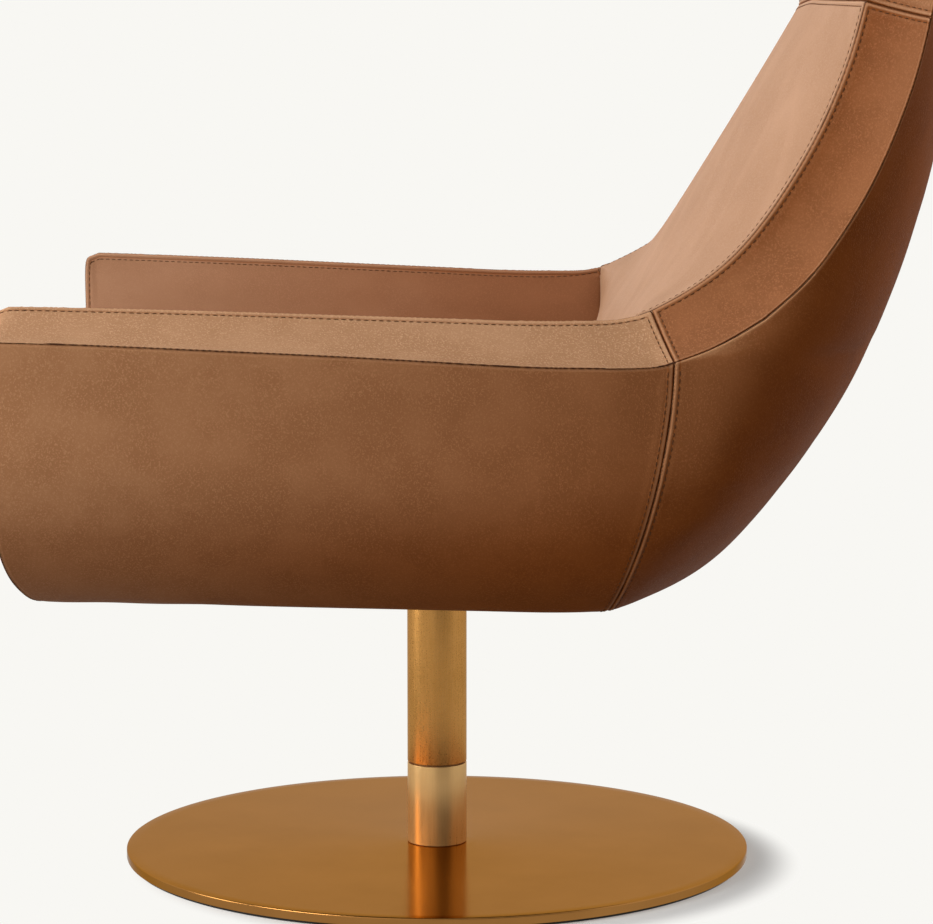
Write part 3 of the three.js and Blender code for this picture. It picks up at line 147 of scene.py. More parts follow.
floor_half = 6
bm = bmesh.new()
bmesh.ops.create_grid(bm, x_segments=40, y_segments=40, size=floor_half)
floor_mesh = bpy.data.meshes.new("floor")
bm.to_mesh(floor_mesh)
bm.free()
floor = bpy.data.objects.new("floor", floor_mesh)
scene.collection.objects.link(floor)
floor_paint = bpy.data.materials.new("studio_floor")
floor_paint.use_nodes = True
tree = floor_paint.node_tree
tree.nodes.clear()
output = tree.nodes.new("ShaderNodeOutputMaterial")
place = Wire(tree, tree.nodes.new("ShaderNodeTexCoord").outputs["Object"])
rays = tree.nodes.new("ShaderNodeLightPath")
seen = Wire(tree, rays.outputs["Is Camera Ray"])
reflected = Wire(tree, rays.outputs["Is Glossy Ray"])
shade_centre = (0.020, 0.026, 0)
shade_inner, shade_outer, shade_glow = 0.285, 0.325, 0.24
reach = place.node("ShaderNodeVectorMath", {0: place, 1: shade_centre}, output="Value", operation="DISTANCE")
glow = place.node("ShaderNodeEmission", {"Color": pale, "Strength": 1.0})
soft_glow = place.node("ShaderNodeEmission", {"Color": pale, "Strength": 0.7})
matt = place.node("ShaderNodeBsdfDiffuse", {"Color": colour(0.80, 0.795, 0.78)})
dim = place.node("ShaderNodeBsdfDiffuse", {"Color": colour(0.22, 0.215, 0.21)})
glow_share = reach.ramp(shade_inner, shade_outer, shade_glow, 1.0)
lit = place.node("ShaderNodeMixShader", {0: glow_share, 1: matt, 2: glow})
unseen = place.node("ShaderNodeMixShader", {0: reflected, 1: dim, 2: soft_glow})
surface = place.node("ShaderNodeMixShader", {0: seen, 1: unseen, 2: lit})
tree.links.new(surface.socket, output.inputs["Surface"])
floor_mesh.materials.append(floor_paint)

# Lights: a soft box high in front of the chair on the camera's side, one above, and weaker ones around.
# Only the first three show in the brass.
in_the_brass = ("key_box", "top_box", "front_box")
for name, place, target, width, height, power in [
    ("key_box", (1.5, -2.3, 2.2), (0.0, -0.1, 0.45), 1.6, 1.3, 64),
    ("top_box", (-0.2, -0.6, 3.0), (0.0, 0.0, 0.4), 2.0, 1.6, 30),
    ("front_box", (0.3, -3.0, 1.1), (0.0, 0.0, 0.45), 1.0, 1.8, 24),
    ("side_box", (3.0, -2.0, 0.75), (0.3, -0.2, 0.40), 1.5, 1.1, 52),
    ("rear_box", (2.2, 2.6, 1.0), (0.2, 0.2, 0.45), 1.5, 1.2, 9),
    ("back_box", (-1.3, 3.2, 1.5), (0.0, 0.3, 0.6), 1.6, 1.4, 46),
    ("left_box", (-3.2, -1.2, 1.2), (-0.3, 0.0, 0.45), 1.6, 1.4, 44),
]:
    lamp = bpy.data.objects.new(name, bpy.data.lights.new(name, "AREA"))
    scene.collection.objects.link(lamp)
    lamp.data.shape = "RECTANGLE"
    lamp.data.size = width
    lamp.data.size_y = height
    lamp.data.energy = power
    lamp.location = place
    lamp.visible_glossy = name in in_the_brass
    lamp.rotation_euler = (Vector(target) - Vector(place)).to_track_quat("-Z", "Y").to_euler()


# Floor disc: a brass plate turned on the lathe and satin polished, with its edges just broken.
# It rises by less than half a millimetre in a low collar where the column stands on it.
def new_material(name):
    """A material, its object coordinates in metres, and its shader node."""
    made = bpy.data.materials.new(name)
    made.use_nodes = True
    tree = made.node_tree
    shader = tree.nodes["Principled BSDF"]
    place = tree.nodes.new("ShaderNodeTexCoord")
    return made, Wire(tree, place.outputs["Object"]), shader


def connect(wire, shader, name):
    wire.tree.links.new(wire.socket, shader.inputs[name])


def scaled(place, x, y, z):
    return place.node("ShaderNodeMapping", {"Vector": place, "Scale": (x, y, z)})


def noise_at(place, scale, detail=3.0, roughness=0.5):
    inputs = {"Vector": place, "Scale": scale, "Detail": detail, "Roughness": roughness}
    return place.node("ShaderNodeTexNoise", inputs)


def bumped(height, shader, distance, strength=1.0):
    inputs = {"Height": height, "Distance": distance, "Strength": strength}
    connect(height.node("ShaderNodeBump", inputs), shader, "Normal")


def brass(name, base, deep, tint, rough, grit, streak, metal=1.0, grain=900.0):
    """Brass with cloudy patches, a fine grit and brushed lines along Z."""
    made, place, shader = new_material(name)
    cloud = noise_at(place, 9, 4.0, 0.6)
    speck = noise_at(place, grain, 2.0, 0.7)
    lines = noise_at(scaled(place, 260, 260, 9), 3.0, 2.0, 0.6)
    tone = cloud * 0.55 + speck * grit + lines * streak
    middle = 0.275 + grit / 2 + streak / 2
    connect((tone - middle).ramp(-0.22, 0.22).blend(deep, base), shader, "Base Color")
    polish = (speck - 0.5) * (grit * 0.9) + (lines - 0.5) * (streak * 0.6) + (cloud - 0.5) * 0.10 + rough
    connect(polish, shader, "Roughness")
    bumped((speck - 0.5) * grit + (lines - 0.5) * streak, shader, 0.00006, 0.6)
    shader.inputs["Metallic"].default_value = metal
    shader.inputs["Specular Tint"].default_value = tint
    return made


def shown(name, mesh, body, paint):
    """A new object that rides on a body, with one material."""
    new = bpy.data.objects.new(name, mesh)
    scene.collection.objects.link(new)
    mesh.materials.clear()
    mesh.materials.append(paint)
    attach(new, body)
    return new


def smooth_mesh(bm, name, sharp_degrees=35):
    """The finished mesh: faces smooth, with the edges sharper than the given angle kept."""
    bmesh.ops.recalc_face_normals(bm, faces=bm.faces)
    for face in bm.faces:
        face.smooth = True
    for edge in bm.edges:
        edge.smooth = edge.calc_face_angle(0) < math.radians(sharp_degrees)
    mesh = bpy.data.meshes.new(name)
    bm.to_mesh(mesh)
    bm.free()
    return mesh


def turned(name, profile, steps):
    """A solid of revolution about Z from [radius, height] pairs in metres, closed by its last point."""
    bm = bmesh.new()
    points = [bm.verts.new((radius, 0, height)) for radius, height in profile]
    edges = [bm.edges.new(pair) for pair in zip(points, points[1:])]
    if profile[0][0] > 0:
        edges.append(bm.edges.new((points[-1], points[0])))
    bmesh.ops.spin(bm, geom=points + edges, axis=(0, 0, 1), cent=(0, 0, 0), angle=2 * math.pi,
                   steps=steps, use_merge=True)
    bmesh.ops.remove_doubles(bm, verts=bm.verts, dist=1e-6)
    return smooth_mesh(bm, name)


def rounded(corner, before, after, radius, steps=4):
    """A corner of a profile with a quarter round in its place."""
    corner = Vector(corner)
    start = corner + (Vector(before) - corner).normalized() * radius
    end = corner + (Vector(after) - corner).normalized() * radius
    centre = start + end - corner
    ring = []
    for k in range(steps + 1):
        angle = k / steps * math.pi / 2
        ring.append(tuple(centre + (start - centre) * math.cos(angle) + (end - centre) * math.sin(angle)))
    return ring


disc_low, disc_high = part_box("base_disc")
disc_radius = disc_high[0]
disc_edge = 0.0011
disc_margin = 0.012
tube_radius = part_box("lower_tube")[1][0]
collar_rise = 0.0004
collar_top, collar_fall, collar_foot = 0.0035, 0.008, 0.0125
disc_profile = [
    (0, disc_high[2] + collar_rise),
    (tube_radius + collar_top, disc_high[2] + collar_rise),
    (tube_radius + collar_fall, disc_high[2] + collar_rise / 2),
    (tube_radius + collar_foot, disc_high[2]),
    (disc_radius - disc_margin, disc_high[2]),
    *rounded((disc_radius, disc_high[2]), (0, disc_high[2]), (disc_radius, 0), disc_edge),
    *rounded((disc_radius, disc_low[2]), (disc_radius, 1), (0, disc_low[2]), disc_edge),
    (0, disc_low[2]),
]
disc_tint = colour(0.72, 0.55, 0.40)
disc_brass = brass("disc_brass", colour(0.46, 0.215, 0.060), colour(0.37, 0.165, 0.043), disc_tint,
                   rough=0.16, grit=0.10, streak=0.05)
disc = shown("turned_disc", turned("turned_disc", disc_profile, steps=240), "base", disc_brass)
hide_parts("base_disc")


# Floor pad: a round of black rubber glued under the disc, which keeps the brass off the floor.
# It is set in from the disc's edge, so the disc seems to float.
def black_rubber(name, scale, light, rough, strength):
    made, place, shader = new_material(name)
    grit = noise_at(place, scale)
    connect(grit.ramp(0.3, 0.7).blend(colour(0.012, 0.012, 0.012), light), shader, "Base Color")
    shader.inputs["Roughness"].default_value = rough
    bumped(grit, shader, 0.0002, strength)
    return made


pad_black = black_rubber("pad_rubber", 700, colour(0.03, 0.029, 0.028), 0.85, 0.5)
pad_edge = 0.0008
pad_low, pad_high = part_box("floor_pad")
pad_profile = [
    (0, pad_high[2]),
    *rounded((pad_high[0], pad_high[2]), (0, pad_high[2]), (pad_high[0], 0), pad_edge),
    *rounded((pad_high[0], pad_low[2]), (pad_high[0], 1), (0, pad_low[2]), pad_edge),
    (0, pad_low[2]),
]
pad = shown("rubber_pad", turned("rubber_pad", pad_profile, steps=200), "base", pad_black)
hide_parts("floor_pad")

# Column: the lower tube is bright brass, brushed along its length, and stands on the disc.
# The upper tube is the same stock with a burnished, grainy finish, and turns on the spindle in it.
# A fine dark gap parts the two.
wall = 0.003
tube_tint = colour(0.92, 0.78, 0.60)
tube_smooth = brass("tube_brass", colour(0.90, 0.58, 0.25), colour(0.66, 0.38, 0.14), tube_tint,
                    rough=0.30, grit=0.05, streak=0.14, metal=0.72)
tube_worn = brass("burnished_brass", colour(0.74, 0.38, 0.115), colour(0.50, 0.235, 0.055), tube_tint,
                  rough=0.33, grit=0.44, streak=0.34, grain=640.0)
for name, node, body, paint, foot_edge, top_edge in [
    ("column_foot", "lower_tube", "base", tube_smooth, 0.0014, 0.0005),
    ("column_top", "upper_tube", "swivel", tube_worn, 0.0005, 0.0004),
]:
    low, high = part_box(node)
    radius, bore = high[0], high[0] - wall
    profile = [
        (bore, low[2]),
        *rounded((radius, low[2]), (0, low[2]), (radius, 1), foot_edge),
        *rounded((radius, high[2]), (radius, 0), (0, high[2]), top_edge),
        (bore, high[2]),
    ]
    tube = shown(name, turned(name, profile, steps=128), body, paint)
    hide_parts(node)


# Swivel and rocker hardware: steel spindle, yoke, shaft, plate, springs and bolts, bronze bushes
# and rubber stops. They are hidden in the column and the seat, and keep their CAD shapes.
def plain_metal(name, base, deep, rough, metallic):
    made, place, shader = new_material(name)
    cloud = noise_at(place, 60, 4.0, 0.6)
    connect(cloud.ramp(0.35, 0.65).blend(deep, base), shader, "Base Color")
    connect(cloud * 0.2 + (rough - 0.1), shader, "Roughness")
    bumped(noise_at(place, 1200, 2.0), shader, 0.00005, 0.5)
    shader.inputs["Metallic"].default_value = metallic
    return made


def finished(node, paint):
    """A CAD node's own mesh in this material."""
    nodes[node].data.materials.clear()
    nodes[node].data.materials.append(paint)


hardware = {
    "bright_steel": plain_metal("bright_steel", colour(0.55, 0.56, 0.57), colour(0.38, 0.39, 0.40),
                                rough=0.32, metallic=1.0),
    "black_steel": plain_metal("black_steel", colour(0.035, 0.035, 0.04), colour(0.02, 0.02, 0.022),
                               rough=0.5, metallic=0.3),
    "bronze": plain_metal("bronze", colour(0.38, 0.20, 0.08), colour(0.24, 0.12, 0.05),
                          rough=0.42, metallic=1.0),
    "rubber": black_rubber("stop_rubber", 500, colour(0.028, 0.027, 0.026), 0.8, 0.4),
}
slots = {entry["node"]: entry["material_slot"] for entry in frame["record"]["subparts"]}
for node, slot in slots.items():
    if slot in hardware:
        finished(node, hardware[slot])


# Seat frame: birch plywood rails, formers and arm frames, glued and screwed.
# Those whose edges show between the arms and the cushion are near-black, as painted shade in that gap.
def birch(name, light, dark):
    made, place, shader = new_material(name)
    plies = (place.node("ShaderNodeSeparateXYZ", {"Vector": place}, output=2) * 700).math("SINE")
    figure = noise_at(scaled(place, 30, 4, 30), 2.0, 5.0, 0.6)
    connect((figure * 0.8 + plies * 0.1).ramp(0.25, 0.6).blend(dark, light), shader, "Base Color")
    shader.inputs["Roughness"].default_value = 0.7
    bumped(figure, shader, 0.0004, 0.4)
    return made


plywood = birch("birch_plywood", colour(0.64, 0.44, 0.25), colour(0.42, 0.25, 0.12))
# Painted shade: the frame pieces seen in the gap beside the cushion are coloured near-black.
gap_shade_plywood = birch("gap_shade_birch", colour(0.055, 0.026, 0.012), colour(0.030, 0.014, 0.007))
for node, slot in slots.items():
    if slot == "plywood":
        edge_shows = node.startswith(("arm_frame", "side_rail", "front_former"))
        finished(node, gap_shade_plywood if edge_shows else plywood)

# Seat webbing: rubber straps 42 mm wide, six across and seven along, woven over and under one another.
# They are tacked to the rails, which stand closer together towards the rear.
webbing, place, shader = new_material("woven_webbing")
ribs = (place.node("ShaderNodeSeparateXYZ", {"Vector": place}, output=0) * 2600).math("SINE")
rows = (place.node("ShaderNodeSeparateXYZ", {"Vector": place}, output=1) * 2600).math("SINE")
tone = ribs * rows * 0.5 + 0.5
connect(tone.blend(colour(0.016, 0.014, 0.012), colour(0.060, 0.050, 0.040)), shader, "Base Color")
shader.inputs["Roughness"].default_value = 0.85
bumped(tone, shader, 0.0003, 0.6)
strap_low, strap_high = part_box("seat_webbing")
strap_middle = (strap_low[2] + strap_high[2]) / 2
strap_half = 0.021
strap_thickness = 0.0009
weave_lift = 0.00055
strap_steps = 60
deck_half_width, deck_taper = 0.3387, 0.0998
deck_length = strap_high[1] - strap_low[1]
row_places = [strap_low[1] + strap_half + (deck_length - 2 * strap_half) * k / 5 for k in range(6)]
row_spacing = row_places[1] - row_places[0]
column_pitch_share = 0.28
column_shares = [column_pitch_share * (k - 3) for k in range(7)]


def deck_half(y):
    """Half the width between the rails at this place along the seat."""
    return deck_half_width - deck_taper * y


bm = bmesh.new()
for lengthwise, straps in ((False, row_places), (True, column_shares)):
    for number, strap in enumerate(straps):
        for v in bmesh.ops.create_grid(bm, x_segments=strap_steps, y_segments=2, size=1)["verts"]:
            along, side = v.co.x, v.co.y * strap_half
            if lengthwise:
                y = strap_low[1] + deck_length * (along + 1) / 2
                v.co.x, v.co.y = strap * deck_half(y) + side, y
                crossing = (y - row_places[0]) / row_spacing
            else:
                v.co.x, v.co.y = deck_half(strap) * along, strap + side
                crossing = (along - column_shares[0]) / column_pitch_share
            over = math.cos(math.pi * (crossing + number)) * (1 if lengthwise else -1)
            v.co.z = strap_middle + weave_lift * over
bm.normal_update()
bmesh.ops.reverse_faces(bm, faces=[face for face in bm.faces if face.normal.z < 0])
bm.normal_update()
bmesh.ops.solidify(bm, geom=bm.faces[:], thickness=strap_thickness)
straps = shown("seat_straps", smooth_mesh(bm, "seat_straps", 50), "seat", webbing)
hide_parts("seat_webbing")


# Back sling: one thin black cloth, hooked to the steel hoop of the back and pulled taut.
# Only the outer face of the CAD solid is kept, and the cloth gets its own thickness.
weld_reach = 2e-5


def merged_copy(node):
    """A CAD node's mesh, with the points that its faces share welded."""
    bm = bmesh.new()
    bm.from_mesh(nodes[node].data)
    bmesh.ops.remove_doubles(bm, verts=bm.verts, dist=weld_reach)
    return bm


def taut_cloth(name, node, away, thickness):
    """The face of a CAD sheet that looks away, as a cloth of this thickness."""
    bm = merged_copy(node)
    bmesh.ops.recalc_face_normals(bm, faces=bm.faces)
    inner = [face for face in bm.faces if face.normal.dot(Vector(away)) < 0.5]
    bmesh.ops.delete(bm, geom=inner, context="FACES")
    bmesh.ops.subdivide_edges(bm, edges=bm.edges, cuts=3, use_grid_fill=True)
    for face in bm.faces:
        face.smooth = True
    mesh = bpy.data.meshes.new(name)
    bm.to_mesh(mesh)
    bm.free()
    sheet = shown(name, mesh, "seat", black_cloth)
    cloth_wall = sheet.modifiers.new("cloth thickness", "SOLIDIFY")
    cloth_wall.thickness = thickness
    cloth_wall.offset = -1
    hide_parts(node)
    return sheet


black_cloth, place, shader = new_material("black_cloth")
weave = noise_at(place, 900)
black = weave.ramp(0.3, 0.7).blend(colour(0.012, 0.012, 0.012), colour(0.035, 0.033, 0.03))
connect(black, shader, "Base Color")
shader.inputs["Roughness"].default_value = 0.9
bumped(weave, shader, 0.0002, 0.6)
sling = taut_cloth("hooked_sling", "back_sling", (0, -1, 0), 0.0016)


# Leather: a soft aniline hide with a rubbed, pebbled grain, with painted shade where it turns under.
# Along each seam a dark line and a sunk row of holes, both painted shade, and a raised roll with a painted
# highlight, follow the distance in millimetres.
def leather(name, light, dark, pebble, grain_depth, mottle, wrinkle=0.0):
    made, place, shader = new_material(name)
    sewn = place.node("ShaderNodeAttribute", output="Fac", attribute_name="sewn_mm")
    joined = place.node("ShaderNodeAttribute", output="Fac", attribute_name="joined_mm")
    painted_shade = place.node("ShaderNodeAttribute", output="Fac", attribute_name="painted_shade")
    wander_at = {"Vector": place, "Scale": 260.0, "Detail": 2.0}
    wander = place.node("ShaderNodeTexNoise", wander_at, output="Color")
    drift = place.node("ShaderNodeMix", {0: 0.006, 4: place, 5: wander}, output=1, data_type="VECTOR")
    cells = place.node("ShaderNodeTexVoronoi", {"Vector": drift, "Scale": pebble, "Smoothness": 0.4},
                       feature="SMOOTH_F1")
    pebbles = cells.ramp(0.10, 0.58, 1.0, 0.0)
    fine = noise_at(place, pebble * 2.2, 3.0, 0.6)
    cloud = noise_at(scaled(place, 1.0, 0.6, 1.4), 7, 4.0, 0.6)
    pull = noise_at(place, 22, 3.0, 0.55).ramp(0.36, 0.64)
    rub = (pebbles - 0.62) * (pull * 0.45 + 0.30) + (fine - 0.5) * 0.45
    tone = (cloud - 0.5) * mottle + rub * grain_depth + 0.5
    if wrinkle:
        lean = place.node("ShaderNodeMapping", {"Vector": place, "Rotation": (0.0, 0.75, 0.0)})
        bent = noise_at(scaled(lean, 10.0, 3.0, 1.6), 1.3, 2.0, 0.5)
        folds = (bent - 0.5).math("ABSOLUTE").ramp(0.0, 0.09, 1.0, 0.0)
        # Painted highlight: the folds are coloured lighter along their raised lines, as well as raised in the
        # bump.
        tone = tone + folds * wrinkle - wrinkle * 0.35
    hide = tone.ramp(0.10, 0.90).blend(dark, light)
    # Painted shade: by the stored attribute, the hide turns to a deep, saturated brown where it is shaded.
    shade_tone = (rub * grain_depth * 0.8 + (cloud - 0.5) * 0.5 + 0.5).ramp(0.0, 1.0)
    hide = painted_shade.blend(hide, shade_tone.blend(shade_deep, shade_pale))
    crease = sewn.ramp(0.02, 0.5, 1.0, 0.0).math("MAXIMUM", joined.ramp(0.05, 0.85, 1.0, 0.0))
    holes = sewn.ramp(4.1, 4.8) * sewn.ramp(5.2, 5.9, 1.0, 0.0)
    roll = sewn.ramp(0.8, 1.7) * sewn.ramp(2.4, 4.0, 1.0, 0.0)
    roll = roll + joined.ramp(0.9, 1.6) * joined.ramp(2.0, 3.2, 1.0, 0.0) * 0.6
    # Painted highlight: the raised roll is coloured lighter. Painted shade: the sunk row of holes is coloured
    # dark.
    hide = (roll * 0.30).blend(hide, colour(light[0] * 1.25, light[1] * 1.22, light[2] * 1.2))
    hide = (holes * 0.45).blend(hide, shade_brown)
    hide = (crease * 0.94).blend(hide, crease_shade)
    connect(hide, shader, "Base Color")
    connect((pebbles - 0.5) * -0.10 + (cloud - 0.5) * 0.12 + 0.62, shader, "Roughness")
    lift = rub * grain_depth + roll * 0.7 - holes * 0.7
    if wrinkle:
        lift = lift + folds * wrinkle * 2.5
    bumped(lift, shader, 0.0006, 0.6)
    shader.inputs["Specular IOR Level"].default_value = 0.10
    return made


# Painted shade colours: the saturated brown that the hide turns to where it is shaded, and the dark of a
# seam's crease.
shade_brown = colour(0.200, 0.047, 0.0035)
shade_deep = colour(shade_brown[0] * 0.72, shade_brown[1] * 0.68, shade_brown[2] * 0.6)
shade_pale = colour(shade_brown[0] * 1.3, shade_brown[1] * 1.35, shade_brown[2] * 1.5)
crease_shade = colour(0.030, 0.009, 0.003)
leathers = {
    "leather_outer": leather("leather_outer", colour(0.46, 0.234, 0.116), colour(0.30, 0.135, 0.058),
                             pebble=520.0, grain_depth=0.55, mottle=0.55),
    "leather_band": leather("leather_band", colour(0.50, 0.285, 0.158), colour(0.35, 0.180, 0.088),
                            pebble=480.0, grain_depth=0.75, mottle=0.45),
    "leather_inner": leather("leather_inner", colour(0.42, 0.240, 0.145), colour(0.32, 0.171, 0.094),
                             pebble=640.0, grain_depth=0.35, mottle=0.7, wrinkle=0.10),
}

# Tub panels: thirteen pieces of leather over thin foam, cut to meet in mitred seams along one rim.
# Each is its CAD solid refined into a smooth skin, and the way that its shown face looks is given here.
panel_looks = {
    "side_panel_right": (1, 0, 0),
    "side_panel_left": (-1, 0, 0),
    "back_wrap": (0, 1, -0.2),
    "front_panel": (0, -1, 0),
    "arm_band_right": (0.3, -1, 1),
    "arm_band_left": (-0.3, -1, 1),
    "back_band_right": (1, -0.4, 0.3),
    "back_band_left": (-1, -0.4, 0.3),
    "head_band": (0, -0.7, 0.7),
    "inner_arm_right": (-1, 0, 0),
    "inner_arm_left": (1, 0, 0),
    "inner_back": (0, -1, 0.5),
    "head_panel": (0, -1, 0.3),
}
puffed_by = {"inner_back": 0.0035, "head_panel": 0.003, "inner_arm": 0.003}
puff_pressure = 3.0
swell_frames = 20
skin_levels = 3
seam_angle = math.radians(9)
corner_angle = math.radians(55)
facet_angle, quad_angle = math.radians(52), math.radians(130)
seam_gap = 0.0013
ridge_step = 0.0012
border_step = 0.001
fin_low, fin_high = 1.005, 1.011
fin_rear, fin_half = 0.4665, 0.15
fin_fold = 0.017


def family(name):
    return name.replace("_right", "").replace("_left", "")


def merged_panel(name):
    """The merged CAD panel. A thin fin on the wrap's lap, behind the head band, is folded down."""
    bm = merged_copy(name)
    if name == "back_wrap":
        for v in bm.verts:
            if fin_low < v.co.z < fin_high and v.co.y < fin_rear and abs(v.co.x) < fin_half:
                v.co.z -= fin_fold
    return bm


def spaced(start, end, step, last=1):
    """Points from one place to another, no further apart than the step, with or without the last."""
    count = max(1, math.ceil((end - start).length / step))
    return [start.lerp(end, k / count) for k in range(count + last)]


def tree_of(points):
    tree = kdtree.KDTree(len(points))
    for k, point in enumerate(points):
        tree.insert(point, k)
    tree.balance()
    return tree


ridge_points, ridge_owner = [], []
for name in panel_looks:
    bm = merged_panel(name)
    for edge in bm.edges:
        if edge.calc_face_angle(0) > seam_angle:
            ridge_points += spaced(edge.verts[0].co.copy(), edge.verts[1].co.copy(), ridge_step)
            ridge_owner += [name] * (len(ridge_points) - len(ridge_owner))
    bm.free()
ridges = tree_of(ridge_points)


def near_mate(name, place):
    """Whether an edge of another panel runs right beside this place."""
    return any(ridge_owner[k] != name for _, k, _ in ridges.find_range(place, seam_gap))


def cage(name, toward):
    """The CAD panel as quads. Its visible face has material 0, and its edges are creased."""
    bm = merged_panel(name)
    bmesh.ops.join_triangles(bm, faces=bm.faces, angle_face_threshold=facet_angle,
                             angle_shape_threshold=quad_angle)
    bmesh.ops.recalc_face_normals(bm, faces=bm.faces)
    crease = bm.edges.layers.float.new("crease_edge")
    for edge in bm.edges:
        angle = edge.calc_face_angle(0)
        start, end = (v.co for v in edge.verts)
        seamed = angle > seam_angle and all(near_mate(name, start.lerp(end, share)) for share in (0, 0.5, 1))
        edge[crease] = 1.0 if angle > corner_angle or seamed else 0.0
    for face in bm.faces:
        face.material_index = 1
    best, visible = 0.0, []
    left = dict.fromkeys(bm.faces)
    while left:
        group = [left.popitem()[0]]
        for face in group:
            for edge in face.edges:
                if edge[crease] == 0:
                    fresh = [other for other in edge.link_faces if other in left]
                    for other in fresh:
                        del left[other]
                    group.extend(fresh)
        facing = sum((face.normal * face.calc_area() for face in group), Vector()).dot(toward)
        if facing > best:
            best, visible = facing, group
    for face in visible:
        face.material_index = 0
    return bm


def smoothed(name, bm, levels):
    """Smooth mesh from a cage. The cage swells first, so that the surface passes through its points."""
    mesh = bpy.data.meshes.new(name)
    bm.to_mesh(mesh)
    bm.free()
    mesh.materials.append(None)
    mesh.materials.append(None)
    carrier = bpy.data.objects.new(name, mesh)
    scene.collection.objects.link(carrier)
    wanted = [v.co.copy() for v in mesh.vertices]
    modifier = carrier.modifiers.new("smooth", "SUBSURF")
    modifier.levels = modifier.render_levels = 1
    for _ in range(4):
        bpy.context.view_layer.update()
        smooth = carrier.evaluated_get(bpy.context.evaluated_depsgraph_get()).data
        moves = [point - smooth.vertices[k].co for k, point in enumerate(wanted)]
        for vertex, move in zip(mesh.vertices, moves):
            vertex.co += move
        mesh.update()
    modifier.levels = modifier.render_levels = levels
    return applied(carrier)


def applied(carrier):
    """The mesh of an object with its modifiers applied. The object goes."""
    bpy.context.view_layer.update()
    mesh = bpy.data.meshes.new_from_object(carrier.evaluated_get(bpy.context.evaluated_depsgraph_get()))
    bpy.data.objects.remove(carrier)
    return mesh


def swollen(name, mesh, pressure, cap, held=()):
    """Swells a closed mesh by a short cloth simulation. No point moves further than the cap."""
    start = [v.co.copy() for v in mesh.vertices]
    pad = bpy.data.objects.new(name, mesh)
    scene.collection.objects.link(pad)
    cloth = pad.modifiers.new("swell", "CLOTH")
    cloth.settings.use_pressure = True
    cloth.settings.uniform_pressure_force = pressure
    cloth.settings.effector_weights.gravity = 0
    if held:
        pad.vertex_groups.new(name="held").add(held, 1.0, "REPLACE")
        cloth.settings.vertex_group_mass = "held"
    for number in range(swell_frames):
        scene.frame_set(number + 1)
    swelled = pad.evaluated_get(bpy.context.evaluated_depsgraph_get()).data
    moved = [v.co.copy() for v in swelled.vertices]
    bpy.data.objects.remove(pad)
    scene.frame_set(1)
    for v, before, after in zip(mesh.vertices, start, moved):
        move = after - before
        v.co = before + move * min(1.0, cap / max(move.length, 1e-9))


panels = {}
for name, toward in panel_looks.items():
    smooth = smoothed(name, cage(name, Vector(toward)), skin_levels)
    if family(name) in puffed_by:
        held = sorted({k for p in smooth.polygons if p.material_index == 1 for k in p.vertices})
        swollen(name, smooth, puff_pressure, puffed_by[family(name)], held)
    panels[name] = bmesh.new()
    panels[name].from_mesh(smooth)
    bpy.data.meshes.remove(smooth)


# Seams: most are topstitched, with a roll beside the seam and a sunk row of stitches.
# Those under the rim's bands are plain. The panels' edges are drawn together until they nearly meet.
def is_border(edge):
    """Whether an edge parts the visible face from the rest of the panel."""
    return len({face.material_index for face in edge.link_faces}) == 2


border_points, border_owner = [], []
for name, bm in panels.items():
    for edge in bm.edges:
        if is_border(edge):
            border_points += spaced(edge.verts[0].co.copy(), edge.verts[1].co.copy(), border_step, last=0)
            border_owner += [name] * (len(border_points) - len(border_owner))
borders = tree_of(border_points)
plain_seams = [
    {"arm_band", "side_panel"},
    {"back_band", "back_wrap"},
    {"head_band", "back_wrap"},
]
sewn_profile_mm = [
    (0, -0.7), (0.6, 0.0), (1.6, 0.55), (2.7, 0.8), (3.8, 0.5),
    (5.0, -0.15), (6.1, 0.15), (8.0, 0.3), (13.0, 0),
]
joined_profile_mm = [(0, -0.9), (0.6, -0.3), (1.3, 0.0), (2.4, 0.12), (5.0, 0.15), (9.0, 0)]
mate_reach = 0.006
seam_step = 0.0008
refined_reaches_mm = (16.0, 8.0)
finest_edge = 0.0022
closing_share, closing_reach = 0.46, 0.012
seam_sink, sink_reach, sink_reach_mm = 0.0008, 0.010, 14
arm_lift = 0.0021
arm_top_heights = (0.495, 0.535)
arm_rear_places = (0.118, 0.160)


def mate_of(name, place):
    """The nearest point on the edge of another panel, and that panel's name."""
    near = [(gap, k) for _, k, gap in borders.find_range(place, mate_reach) if border_owner[k] != name]
    if not near:
        return None, None
    k = min(near)[1]
    return border_points[k], border_owner[k]


def seam_kind(name, edge):
    """sewn for a topstitched seam, joined for a plain one, or free."""
    _, mate = mate_of(name, (edge.verts[0].co + edge.verts[1].co) / 2)
    if mate is None:
        return "free"
    return "joined" if {family(name), family(mate)} in plain_seams else "sewn"


def seam_edges(name, bm):
    """Seam edges of a panel by kind, each with its ends and the way into the visible face."""
    found = {"sewn": [], "joined": [], "free": []}
    for edge in bm.edges:
        if is_border(edge):
            face = next(f for f in edge.link_faces if f.material_index == 0)
            run = (edge.verts[1].co - edge.verts[0].co).normalized()
            inward = face.calc_center_median() - (edge.verts[0].co + edge.verts[1].co) / 2
            inward = (inward - run * inward.dot(run)).normalized()
            found[seam_kind(name, edge)].append((edge.verts[0].co.copy(), edge.verts[1].co.copy(), inward))
    return found


def edge_tree(edges):
    """A search tree along these edges, to measure distances from, or nothing without edges."""
    points = [point for start, end, _ in edges for point in spaced(start, end, seam_step)]
    return tree_of(points) if points else None


def far(tree, place):
    """Millimetres from a place to a tree, or 900 at most."""
    return 1000 * min(tree.find(place)[2], 0.9) if tree else 900.0


